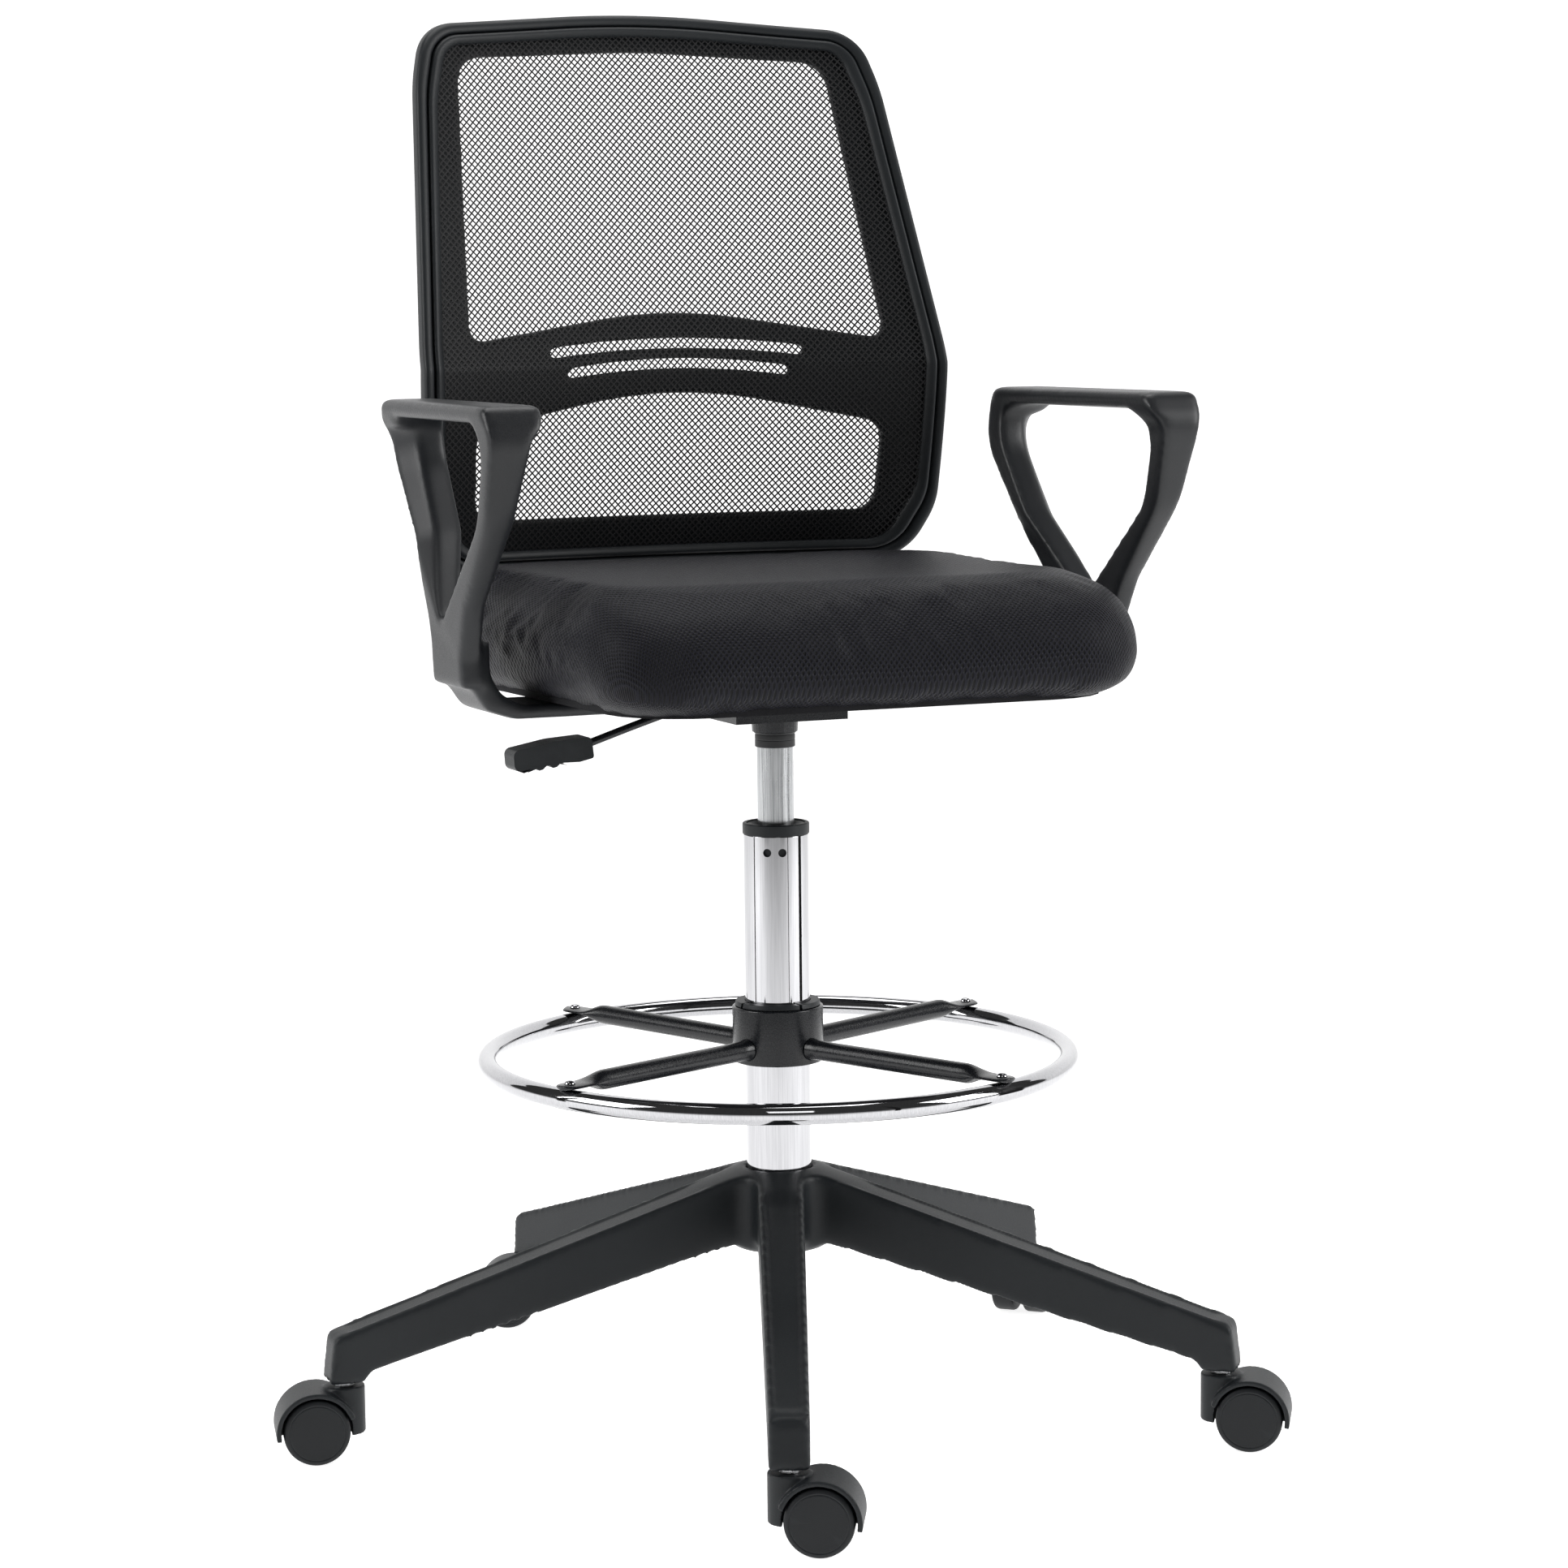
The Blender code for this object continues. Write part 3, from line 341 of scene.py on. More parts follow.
def moulded(name, dark, light, rough_low, rough_high, depth, scale=1500.0, **even):
    """Moulded plastic or powder coat: grain, drifting tone and rubbed corners."""
    material, shader = blank_material(name, dark, **even)
    tree = material.node_tree
    grain = tree.nodes.new("ShaderNodeGroup")
    grain.node_tree = GRAIN
    grain.inputs["Scale"].default_value = scale
    share = range_node(tree, grain.outputs["Tone"], 0.3, 0.7, 0, 0.7)
    share = math_node(tree, "ADD", share, math_node(tree, "MULTIPLY", grain.outputs["Rub"], 0.9))
    color_into(tree, shader, share, dark, light)
    rough = range_node(tree, grain.outputs["Height"], 0.3, 0.7, rough_low, rough_high)
    tree.links.new(rough, shader.inputs["Roughness"])
    bump_into(tree, shader, grain.outputs["Height"], depth, 0.0002)
    return material


def bare_metal(name, dark, light, rough_low, rough_high, lines_depth):
    """Metal with drawn lines and faint smudges."""
    material, shader = blank_material(name, light, metallic=1.0)
    tree = material.node_tree
    drawn = tree.nodes.new("ShaderNodeGroup")
    drawn.node_tree = DRAWN
    share = range_node(tree, drawn.outputs["Lines"], 0.35, 0.65, 0, 1)
    color_into(tree, shader, share, dark, light)
    rough = range_node(tree, drawn.outputs["Smudge"], 0.35, 0.7, rough_low, rough_high)
    tree.links.new(rough, shader.inputs["Roughness"])
    bump_into(tree, shader, drawn.outputs["Lines"], lines_depth, 0.0001)
    return material


NYLON = moulded(
    "moulded_nylon", (0.0055, 0.0072, 0.0088), (0.012, 0.0145, 0.0165), 0.40, 0.54, 0.25,
    Specular_IOR_Level=0.3,
)
ARM_PLASTIC = moulded(
    "armrest_plastic", (0.008, 0.0088, 0.0105), (0.015, 0.0165, 0.019), 0.34, 0.48, 0.3, 1100.0,
    Specular_IOR_Level=0.4,
)
WHEEL_NYLON = moulded(
    "wheel_nylon", (0.006, 0.007, 0.0085), (0.012, 0.014, 0.016), 0.42, 0.55, 0.2,
    Specular_IOR_Level=0.3,
)
BLACK_COAT = moulded(
    "black_powder_coat", (0.0035, 0.0042, 0.0055), (0.009, 0.010, 0.0125), 0.20, 0.32, 0.25, 700.0,
    Specular_IOR_Level=0.4,
)
RUBBER = moulded("boot_rubber", (0.006, 0.0065, 0.0075), (0.012, 0.013, 0.0145), 0.45, 0.6, 0.2)
CHROME = bare_metal("bright_chrome", (0.47, 0.47, 0.485), (0.54, 0.54, 0.555), 0.03, 0.09, 0.02)
STEEL = bare_metal("ground_steel", (0.36, 0.37, 0.38), (0.62, 0.63, 0.64), 0.22, 0.34, 0.25)
print("seven hard finishes")

# %% [markdown]
# Most pieces start as a small bmesh: a profile that is spun, an outline that is extruded, or
# a loop that is bridged to the next. One helper turns such a bmesh into a finished piece: it
# sets smooth normals and keeps sharp edges sharp, gives the material, and says which body carries it.

# %% Helpers for pieces
def soften(shape, width, segments=3, angle=35):
    """Rounds every edge that is sharper than the angle."""
    sharp = [
        edge for edge in shape.edges
        if len(edge.link_faces) == 2 and edge.calc_face_angle(0) > math.radians(angle)
    ]
    bmesh.ops.bevel(
        shape, geom=sharp, offset=width, offset_type="OFFSET", segments=segments, profile=0.5,
        affect="EDGES", clamp_overlap=True, material=-1,
    )


def piece(name, shape, material, body, slot, *nodes, angle=40, weighted=True):
    """Makes the bmesh an object that rides on a body and stands for the named nodes."""
    mesh = bpy.data.meshes.new(name)
    shape.to_mesh(mesh)
    shape.free()
    return mesh_piece(name, mesh, material, body, slot, *nodes, angle=angle, weighted=weighted)


def mesh_piece(name, mesh, material, body, slot, *nodes, angle=40, weighted=True):
    mesh.materials.clear()
    mesh.materials.append(material)
    mesh.shade_smooth()
    mesh.set_sharp_from_angle(angle=math.radians(angle))
    made = bpy.data.objects.new(name, mesh)
    bpy.context.scene.collection.objects.link(made)
    if weighted:
        normals = made.modifiers.new("even_normals", "WEIGHTED_NORMAL")
        normals.keep_sharp = True
    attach(made, body)
    if nodes:
        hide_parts(*nodes)
    return made


def turned(profile, segments=96, closed=True):
    """A bmesh of revolution about Z from (radius, height) points."""
    shape = bmesh.new()
    verts = [shape.verts.new((radius, 0, height)) for radius, height in profile]
    edges = [shape.edges.new(pair) for pair in zip(verts, verts[1:])]
    if closed:
        edges.append(shape.edges.new((verts[-1], verts[0])))
    bmesh.ops.spin(
        shape, geom=verts + edges, cent=(0, 0, 0), axis=(0, 0, 1), angle=2 * math.pi,
        steps=segments, use_merge=True,
    )
    bmesh.ops.remove_doubles(shape, verts=shape.verts, dist=0.00001)
    loose = [vert for vert in shape.verts if not vert.link_faces]
    bmesh.ops.delete(shape, geom=loose, context="VERTS")
    bmesh.ops.recalc_face_normals(shape, faces=shape.faces)
    return shape


def moved(shape, matrix):
    bmesh.ops.transform(shape, matrix=matrix, verts=shape.verts)
    return shape


def rounded_outline(corners):
    """Points of an outline whose corners (u, v, radius, steps) are rounded by arcs."""
    points = []
    for i, (u, v, radius, steps) in enumerate(corners):
        here = Vector((u, v))
        before = (Vector(corners[i - 1][:2]) - here).normalized()
        after = (Vector(corners[(i + 1) % len(corners)][:2]) - here).normalized()
        if radius <= 0:
            points.append(here)
            continue
        half = before.angle(after) / 2
        center = here + (before + after).normalized() * (radius / math.sin(half))
        start = here + before * (radius / math.tan(half)) - center
        end = here + after * (radius / math.tan(half)) - center
        sweep = start.angle_signed(end)
        for step in range(steps + 1):
            points.append(center + Matrix.Rotation(-sweep * step / steps, 2) @ start)
    return [point * MM for point in points]


def merged_copy(node):
    """A copy of an engineering node's mesh with its loose triangles joined."""
    shape = bmesh.new()
    shape.from_mesh(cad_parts[node].data)
    bmesh.ops.remove_doubles(shape, verts=shape.verts, dist=0.00001)
    bmesh.ops.dissolve_limit(
        shape, angle_limit=math.radians(0.5), verts=shape.verts, edges=shape.edges
    )
    return shape


def settled(mesh, *settings):
    """The mesh after modifiers, given as (kind, {setting: value})."""
    helper = bpy.data.objects.new("helper", mesh)
    bpy.context.scene.collection.objects.link(helper)
    for kind, values in settings:
        modifier = helper.modifiers.new(kind.lower(), kind)
        for label, value in values.items():
            setattr(modifier, label, value)
    graph = bpy.context.evaluated_depsgraph_get()
    result = bpy.data.meshes.new_from_object(helper.evaluated_get(graph))
    bpy.data.objects.remove(helper, do_unlink=True)
    return result


SKEW = Matrix.Rotation(0.46, 4, "X") @ Matrix.Rotation(0.38, 4, "Y") @ Matrix.Rotation(0.31, 4, "Z")


def remeshed(shape, voxel, passes, factor=0.5):
    """The bmesh as an even, softly rounded skin: voxels first, then smoothing.

    The shape is turned askew while the voxels are laid. A long edge that ran along the voxels
    would come out in wide steps, and a skewed one comes out in fine steps that smoothing removes.
    """
    moved(shape, SKEW)
    mesh = bpy.data.meshes.new("rough")
    shape.to_mesh(mesh)
    shape.free()
    mesh = settled(mesh, ("REMESH", {"mode": "VOXEL", "voxel_size": voxel}))
    even = bmesh.new()
    even.from_mesh(mesh)
    for _ in range(passes):
        bmesh.ops.smooth_vert(
            even, verts=even.verts, factor=factor, use_axis_x=True, use_axis_y=True, use_axis_z=True
        )
    return moved(even, SKEW.inverted())


def smoothstep(value, low, high):
    share = min(max((value - low) / (high - low), 0), 1)
    return share * share * (3 - 2 * share)


print("helpers for pieces ready")

# %% [markdown]
# The base is one glass-filled nylon moulding: five tapering legs that meet in soft webs at the
# hub. A mould leaves no knife edges, so the engineering mesh is rebuilt as an even skin and
# smoothed, which rounds every edge a little. The shallow tray along each leg's top is then
# pressed in by moving points, which keeps its sides soft.

# %% Base
LEG_ANGLES = [math.radians(-112.3 + 72 * number) for number in range(5)]
LEG_REACH = 365 * MM


def press_leg_trays(shape):
    """Lowers the middle of each leg's top by up to 1.6 mm."""
    for vert in shape.verts:
        flat = vert.co - COLUMN
        radius = math.hypot(flat.x, flat.y)
        if vert.normal.z < 0.6 or radius < 45 * MM:
            continue
        for angle in LEG_ANGLES:
            along = flat.x * math.cos(angle) + flat.y * math.sin(angle)
            across = abs(flat.y * math.cos(angle) - flat.x * math.sin(angle))
            if along < 45 * MM or across > 22 * MM:
                continue
            half = 18 * MM - 3.5 * MM * along / LEG_REACH
            side = 1 - smoothstep(across, half - 6.5 * MM, half - 3 * MM)
            ends = smoothstep(along, 52 * MM, 80 * MM) * (1 - smoothstep(along, 338 * MM, 350 * MM))
            vert.co.z -= 1.6 * MM * side * ends


base_shape = remeshed(merged_copy("base_star"), 2.4 * MM, 6)
base_shape.normal_update()
press_leg_trays(base_shape)
base_piece = piece(
    "base_moulding", base_shape, NYLON, "base", "nylon", "base_star", angle=60, weighted=False
)
print("base has", len(base_piece.data.polygons), "faces")

# %% [markdown]
# A twin-wheel caster is a cup that takes the stem, a fender that curves over both wheels, and
# two wheels on one axle. All five are the same moulding turned to different angles, so one is
# shaped about its own stem and copied. Its parts are cut with solid tools and then skinned,
# because the real fender flows into the cup with soft edges.

# %% Caster housing
TRAIL_ANGLES = [math.radians(angle) for angle in (-28, -33, 47, 150, 167)]
WHEEL_CENTER = Vector((22 * MM, 0, 25 * MM))


def tool(shape, name):
    mesh = bpy.data.meshes.new(name)
    bmesh.ops.recalc_face_normals(shape, faces=shape.faces)
    shape.to_mesh(mesh)
    shape.free()
    made = bpy.data.objects.new(name, mesh)
    bpy.context.scene.collection.objects.link(made)
    return made


def joined_or_cut(mesh, tools):
    """The mesh after Booleans with (operation, tool object) pairs, which are then removed."""
    steps = [("BOOLEAN", {"operation": kind, "object": other}) for kind, other in tools]
    result = settled(mesh, *steps)
    for _, other in tools:
        bpy.data.objects.remove(other, do_unlink=True)
    return result


def rod(radius, length, segments=64):
    """A cylinder bmesh standing on the origin."""
    shape = bmesh.new()
    bmesh.ops.create_cone(
        shape, cap_ends=True, segments=segments, radius1=radius, radius2=radius, depth=length
    )
    bmesh.ops.translate(shape, vec=(0, 0, length / 2), verts=shape.verts)
    return shape


def slab(points, thickness, plane="XZ"):
    """An outline extruded by half the thickness to each side of its plane."""
    shape = bmesh.new()
    if plane == "XZ":
        verts = [shape.verts.new((u, -thickness / 2, v)) for u, v in points]
        step = (0, thickness, 0)
    else:
        verts = [shape.verts.new((-thickness / 2, u, v)) for u, v in points]
        step = (thickness, 0, 0)
    face = bmesh.ops.contextual_create(shape, geom=verts)["faces"]
    pushed = bmesh.ops.extrude_face_region(shape, geom=face)["geom"]
    moved_verts = [item for item in pushed if isinstance(item, bmesh.types.BMVert)]
    bmesh.ops.translate(shape, vec=step, verts=moved_verts)
    bmesh.ops.recalc_face_normals(shape, faces=shape.faces)
    return shape


def arc_points(center, radius, start, end, steps):
    turns = [math.radians(start + (end - start) * i / steps) for i in range(steps + 1)]
    return [(center[0] + radius * math.cos(t), center[1] + radius * math.sin(t)) for t in turns]


def caster_housing():
    cup = moved(rod(15.5 * MM, 36 * MM), Matrix.Translation((0, 0, 20 * MM)))
    mesh = bpy.data.meshes.new("cup")
    cup.to_mesh(mesh)
    cup.free()
    middle = (WHEEL_CENTER.x, WHEEL_CENTER.z)
    fender = arc_points(middle, 30.3 * MM, -10, 160, 48) + arc_points(middle, 8 * MM, 200, 330, 10)
    across = Matrix.Rotation(math.radians(90), 4, "X")
    tools = [("UNION", tool(slab(fender, 45.6 * MM), "fender"))]
    for start in (-3.5 * MM, 43.5 * MM):
        room = moved(rod(26.6 * MM, 40 * MM), Matrix.Translation((22 * MM, start, 25 * MM)) @ across)
        tools.append(("DIFFERENCE", tool(room, "wheel_room")))
    hole = moved(rod(3.4 * MM, 60 * MM, 32), Matrix.Translation((22 * MM, 30 * MM, 25 * MM)) @ across)
    tools.append(("DIFFERENCE", tool(hole, "axle_hole")))
    stem = moved(rod(5.9 * MM, 30 * MM, 32), Matrix.Translation((0, 0, 43.5 * MM)))
    tools.append(("DIFFERENCE", tool(stem, "stem_hole")))
    solid = bmesh.new()
    solid.from_mesh(joined_or_cut(mesh, tools))
    return remeshed(solid, 0.9 * MM, 3)


def wheel_shape():
    """A wheel about its axle, with a raised disc, a shallow ring groove and a rounded tread."""
    profile = [(0, 3), (3.4, 3), (3.4, 18), (22.5, 18), (24.4, 17), (25, 15.4), (25, 3.6)]
    profile += [(24.5, 1.6), (23.2, 0.5), (21.6, 0.1), (21.2, 0.5), (20.6, 0.5), (20.2, 0.1)]
    profile += [(12, -0.05), (0, -0.1)]
    shape = turned([(radius * MM, height * MM) for radius, height in profile], 72, closed=False)
    soften(shape, 0.35 * MM, 2)
    return shape


housing = caster_housing()
housing_mesh = bpy.data.meshes.new("caster_housing")
housing.to_mesh(housing_mesh)
housing.free()
wheel = wheel_shape()
wheel_mesh = bpy.data.meshes.new("caster_wheel")
wheel.to_mesh(wheel_mesh)
wheel.free()
for number, (leg, trail) in enumerate(zip(LEG_ANGLES, TRAIL_ANGLES), 1):
    stem_at = COLUMN + 347 * MM * Vector((math.cos(leg), math.sin(leg), 0))
    here = Matrix.Translation(stem_at) @ Matrix.Rotation(trail, 4, "Z")
    mesh = housing_mesh.copy()
    mesh.transform(here)
    name = f"caster_{number}"
    mesh_piece(name + "_housing", mesh, NYLON, name, "nylon", name + "_hood", angle=60, weighted=False)
    for letter, side in (("a", 1), ("b", -1)):
        mesh = wheel_mesh.copy()
        turn = Matrix.Rotation(math.radians(90 * side), 4, "X")
        mesh.transform(here @ Matrix.Translation(WHEEL_CENTER + Vector((0, side * 22.2 * MM, 0))) @ turn)
        body = f"{name}_wheel_{letter}"
        mesh_piece(body + "_tread", mesh, WHEEL_NYLON, body, "wheel_nylon", body)
print("casters:", len(housing_mesh.polygons), "faces a housing,", len(wheel_mesh.polygons), "a wheel")

# %% [markdown]
# The column is drawn tube with bright chrome, capped by a black ring with a dished bush. The
# steel cylinder of the gas lift slides in it. Turned parts are spun from a profile with many
# steps, so that the mirror surface shows no flats.

# %% Column
tube_top = column_high[2]
tube_bottom = column_low[2]


def make_column():
    profile = [
        (25.0 * MM, tube_top), (25.0 * MM, tube_bottom), (6 * MM, tube_bottom),
        (6 * MM, tube_bottom + 4 * MM), (23 * MM, tube_bottom + 4 * MM), (23 * MM, tube_top),
    ]
    shape = turned(profile, 128)
    soften(shape, 0.4 * MM, 2)
    mesh = bpy.data.meshes.new("column")
    shape.to_mesh(mesh)
    shape.free()
    tools = []
    for degrees in (-129, -102):
        turn = math.radians(degrees)
        out = Vector((math.cos(turn), math.sin(turn), 0)) * 14 * MM
        place = Matrix.Translation(out + Vector((0, 0, tube_top - 12 * MM)))
        aim = Matrix.Rotation(turn, 4, "Z") @ Matrix.Rotation(math.radians(90), 4, "Y")
        tools.append(("DIFFERENCE", tool(moved(rod(3.2 * MM, 20 * MM, 32), place @ aim), "pin_hole")))
    mesh = joined_or_cut(mesh, tools)
    mesh.transform(Matrix.Translation(COLUMN))
    return mesh_piece("column_tube_chrome", mesh, CHROME, "base", "chrome", "column_tube")


def make_spun_piece(name, profile, material, body, slot, node, edge=0.4, segments=96):
    shape = turned([(radius * MM, height * MM) for radius, height in profile], segments)
    soften(shape, edge * MM, 3)
    return piece(name, moved(shape, Matrix.Translation(COLUMN)), material, body, slot, node)


make_column()
top = tube_top / MM
make_spun_piece(
    "collar_ring",
    [(25.2, top + 9), (25.7, top + 8), (25.7, top + 0.3), (22.6, top + 0.3), (22.6, top + 9)],
    NYLON, "base", "nylon", "column_collar", 0.7,
)
make_spun_piece(
    "guide_bush_dish",
    [(21.9, top + 8), (21.9, top), (22.7, top - 2), (22.7, top - 62), (14.4, top - 62),
     (14.4, top + 3), (16.2, top + 5.2), (19.5, top + 7.4)],
    NYLON, "base", "nylon", "column_guide_bush", 0.3,
)
lift_low, lift_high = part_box("gas_cylinder")
low, high = lift_low[2] / MM, lift_high[2] / MM
make_spun_piece(
    "gas_cylinder_ground",
    [(3.3, high - 8), (3.3, high), (12.5, high), (14, high - 25), (14, low), (5.5, low),
     (5.5, low + 8), (12.2, low + 8), (12.2, high - 14), (3.3, high - 14)],
    STEEL, "seat", "steel", "gas_cylinder", 0.3,
)
boot_low, boot_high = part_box("gas_lift_boot")
low, high = boot_low[2] / MM, boot_high[2] / MM
make_spun_piece(
    "lift_boot",
    [(16.5, high), (15.0, high - 1.7), (15.4, high - 2.3), (15.4, high - 5.4), (15.1, high - 5.8),
     (15.4, high - 6.2), (15.4, low + 0.5), (14.4, low), (14.4, high)],
    RUBBER, "seat", "rubber", "gas_lift_boot", 0.3,
)
print("column and lift made")

# %% [markdown]
# The footring is bright tube. Four black arms run from its hub, each a tube pressed flat at
# the end and riveted on top of the ring. Each arm is a circle that is extruded station by
# station, so the flattening is only a scale that changes along the way.

# %% Footring
ring_low, ring_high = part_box("footring_tube")
RING_Z = (ring_low[2] + ring_high[2]) / 2
RING_RADIUS = 224 * MM
RING_TUBE = 7.8 * MM
hub_low, hub_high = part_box("footring_hub")


def make_ring():
    shape = bmesh.new()
    bmesh.ops.create_circle(shape, cap_ends=False, segments=32, radius=RING_TUBE)
    moved(shape, Matrix.Rotation(math.radians(90), 4, "X"))
    bmesh.ops.translate(shape, vec=(RING_RADIUS, 0, 0), verts=shape.verts)
    bmesh.ops.spin(
        shape, geom=shape.verts[:] + shape.edges[:], cent=(0, 0, 0), axis=(0, 0, 1),
        angle=2 * math.pi, steps=192, use_merge=True,
    )
    bmesh.ops.remove_doubles(shape, verts=shape.verts, dist=0.00001)
    bmesh.ops.recalc_face_normals(shape, faces=shape.faces)
    moved(shape, Matrix.Translation(COLUMN + Vector((0, 0, RING_Z))))
    return piece("footring_bright", shape, CHROME, "footring", "chrome", "footring_tube")


def make_hub():
    low, high = hub_low[2], hub_high[2]
    shape = turned(
        [(35 * MM, high), (35 * MM, low), (28.9 * MM, low), (28.9 * MM, high)], 96
    )
    soften(shape, 1.3 * MM, 3)
    moved(shape, Matrix.Translation(COLUMN))
    return piece("footring_hub_coated", shape, BLACK_COAT, "footring", "black_steel", "footring_hub")


def arm_station(x, start, end):
    """Height, half width and half thickness of an arm at this distance from the column."""
    press = smoothstep(x, RING_RADIUS - 34 * MM, RING_RADIUS - 13 * MM)
    along = min((x - start) / (RING_RADIUS - 12 * MM - start), 1)
    flat_height = RING_TUBE + 2.3 * MM
    middle = 9 * MM + (flat_height - 9 * MM) * along
    weld = 1 + 0.16 * (1 - smoothstep(x, start, start + 6 * MM))
    half_width = 7.5 * MM * (1 + 0.45 * press) * weld
    half_thick = 7.5 * MM * (1 - 0.75 * press) * weld
    left = max(end - x, 0)
    if left < 9 * MM:
        half_width *= math.sqrt(max(1 - (1 - left / (9 * MM)) ** 2, 0.02))
    return middle, half_width, half_thick


def make_arm(number):
    start, end = 35.2 * MM, RING_RADIUS + 9 * MM
    stops = [start + (end - start) * share / 60 for share in range(61)]
    stops += [end - 8 * MM * (0.75 ** step) for step in range(1, 9)]
    stops = sorted(set(round(x, 6) for x in stops))
    shape = bmesh.new()
    loops = []
    for x in stops:
        middle, half_width, half_thick = arm_station(x, start, end)
        ring = bmesh.ops.create_circle(shape, cap_ends=False, segments=24, radius=1)["verts"]
        for vert in ring:
            vert.co = (x, vert.co.x * half_width, middle + vert.co.y * half_thick)
        loops.append(list({edge for vert in ring for edge in vert.link_edges}))
    for near, far in zip(loops, loops[1:]):
        bmesh.ops.bridge_loops(shape, edges=near + far)
    bmesh.ops.contextual_create(shape, geom=loops[0])
    bmesh.ops.contextual_create(shape, geom=loops[-1])
    bmesh.ops.recalc_face_normals(shape, faces=shape.faces)
    turn = Matrix.Rotation(math.radians(24 + 90 * (number - 1)), 4, "Z")
    moved(shape, Matrix.Translation(COLUMN + Vector((0, 0, RING_Z))) @ turn)
    node = f"footring_arm_{number}"
    piece(node + "_coated", shape, BLACK_COAT, "footring", "black_steel", node, weighted=False)
    head = [(0, 2.2), (1.6, 2.1), (3.0, 1.7), (4.0, 0.9), (4.3, 0)]
    rivet = turned([(radius * MM, height * MM) for radius, height in head], 36, closed=False)
    bmesh.ops.holes_fill(rivet, edges=[edge for edge in rivet.edges if edge.is_boundary])
    seat = Vector((RING_RADIUS, 0, RING_TUBE + 4.5 * MM))
    moved(rivet, Matrix.Translation(COLUMN + Vector((0, 0, RING_Z))) @ turn @ Matrix.Translation(seat))
    node = f"footring_rivet_{number}"
    piece(node + "_head", rivet, CHROME, "footring", "chrome", node)


make_ring()
make_hub()
for number in range(1, 5):
    make_arm(number)
print("footring at height", round(RING_Z, 4))

# %% [markdown]
# The collet is the split nylon sleeve that the hub tightens on the tube. Only its flared top
# shows, in four petals. It is spun as one ring and cut by four slots.

# %% Collet
def make_collet():
    low, high = hub_low[2] + 1 * MM, hub_high[2]
    profile = [
        (32.2 * MM, high + 4 * MM), (33 * MM, high + 0.4 * MM), (28.5 * MM, high + 0.4 * MM),
        (28.5 * MM, low), (25.4 * MM, low), (25.4 * MM, high + 4 * MM),
    ]
    shape = turned(profile, 96)
    soften(shape, 0.4 * MM, 2)
    mesh = bpy.data.meshes.new("collet")
    shape.to_mesh(mesh)
    shape.free()
    tools = []
    for number in range(4):
        cutter = bmesh.new()
        bmesh.ops.create_cube(cutter, size=1)
        bmesh.ops.scale(cutter, vec=(20 * MM, 2.4 * MM, 34 * MM), verts=cutter.verts)
        bmesh.ops.translate(cutter, vec=(30 * MM, 0, high - 8 * MM), verts=cutter.verts)
        moved(cutter, Matrix.Rotation(math.radians(90 * number + 10), 4, "Z"))
        tools.append(("DIFFERENCE", tool(cutter, "slot")))
    mesh = joined_or_cut(mesh, tools)
    mesh.transform(Matrix.Translation(COLUMN))
    return mesh_piece("collet_petals", mesh, NYLON, "footring_collet", "nylon", "footring_collet")


make_collet()
print("collet made")

# %% [markdown]
# The height lever is a bent rod with a moulded grip. The grip's lower side has three finger
# notches. The rod is a circle carried along a smooth path, and the grip is an outline that is
# extruded and then rounded on every edge.

# %% Lever
def smooth_path(points, per_span=8):
    """Points along a Catmull-Rom curve through the given ones."""
    ends = [points[0] * 2 - points[1]] + points + [points[-1] * 2 - points[-2]]
    path = []
    for before, here, after, beyond in zip(ends, ends[1:], ends[2:], ends[3:]):
        for step in range(per_span):
            t = step / per_span
            path.append(0.5 * (
                2 * here + (after - before) * t
                + (2 * before - 5 * here + 4 * after - beyond) * t * t
                + (3 * here - before - 3 * after + beyond) * t * t * t
            ))
    return path + [points[-1]]


def tube(path, radius, sides=20):
    """A round bar along a path, with flat ends."""
    shape = bmesh.new()
    loops = []
    for number, here in enumerate(path):
        ahead = path[min(number + 1, len(path) - 1)] - path[max(number - 1, 0)]
        aim = ahead.to_track_quat("Z", "Y").to_matrix().to_4x4()
        ring = bmesh.ops.create_circle(shape, cap_ends=False, segments=sides, radius=radius)["verts"]
        bmesh.ops.transform(shape, matrix=Matrix.Translation(here) @ aim, verts=ring)
        loops.append(list({edge for vert in ring for edge in vert.link_edges}))
    for near, far in zip(loops, loops[1:]):
        bmesh.ops.bridge_loops(shape, edges=near + far)
    bmesh.ops.contextual_create(shape, geom=loops[0])
    bmesh.ops.contextual_create(shape, geom=loops[-1])
    bmesh.ops.recalc_face_normals(shape, faces=shape.faces)
    return shape


rod_path = [
    (4, 0, 559), (-50, -4, 559), (-70, -6, 557.5),
    (-88, -9, 554), (-120, -13, 545.5), (-158, -17, 534.5),
]
rod_points = smooth_path([Vector(point) * MM + COLUMN for point in rod_path])
piece(
    "lever_rod_bent", tube(rod_points, 3 * MM), BLACK_COAT, "lever", "black_steel", "lever_rod",
    weighted=False,
)
grip_corners = [(-221, 519, 5, 6), (-214, 516.5, 2, 4)]
for notch in (-206, -195, -184):
    rise = 518 + (notch + 206) * 0.13
    grip_corners += [
        (notch - 4, rise - 1, 1.5, 3), (notch, rise + 2.6, 3, 5), (notch + 4, rise - 0.4, 1.5, 3)
    ]
grip_corners += [
    (-170, 522.5, 3, 3), (-158.6, 525, 2, 4), (-160.4, 541, 4, 6),
    (-190, 539, 60, 6), (-222, 533, 5, 6),
]
grip = slab(rounded_outline(grip_corners), 21.6 * MM)
soften(grip, 2.2 * MM, 4, 50)
moved(grip, Matrix.Translation(COLUMN + Vector((0, -19 * MM, 0))))
piece("lever_grip", grip, NYLON, "lever", "nylon", "lever_handle")
print("lever made")

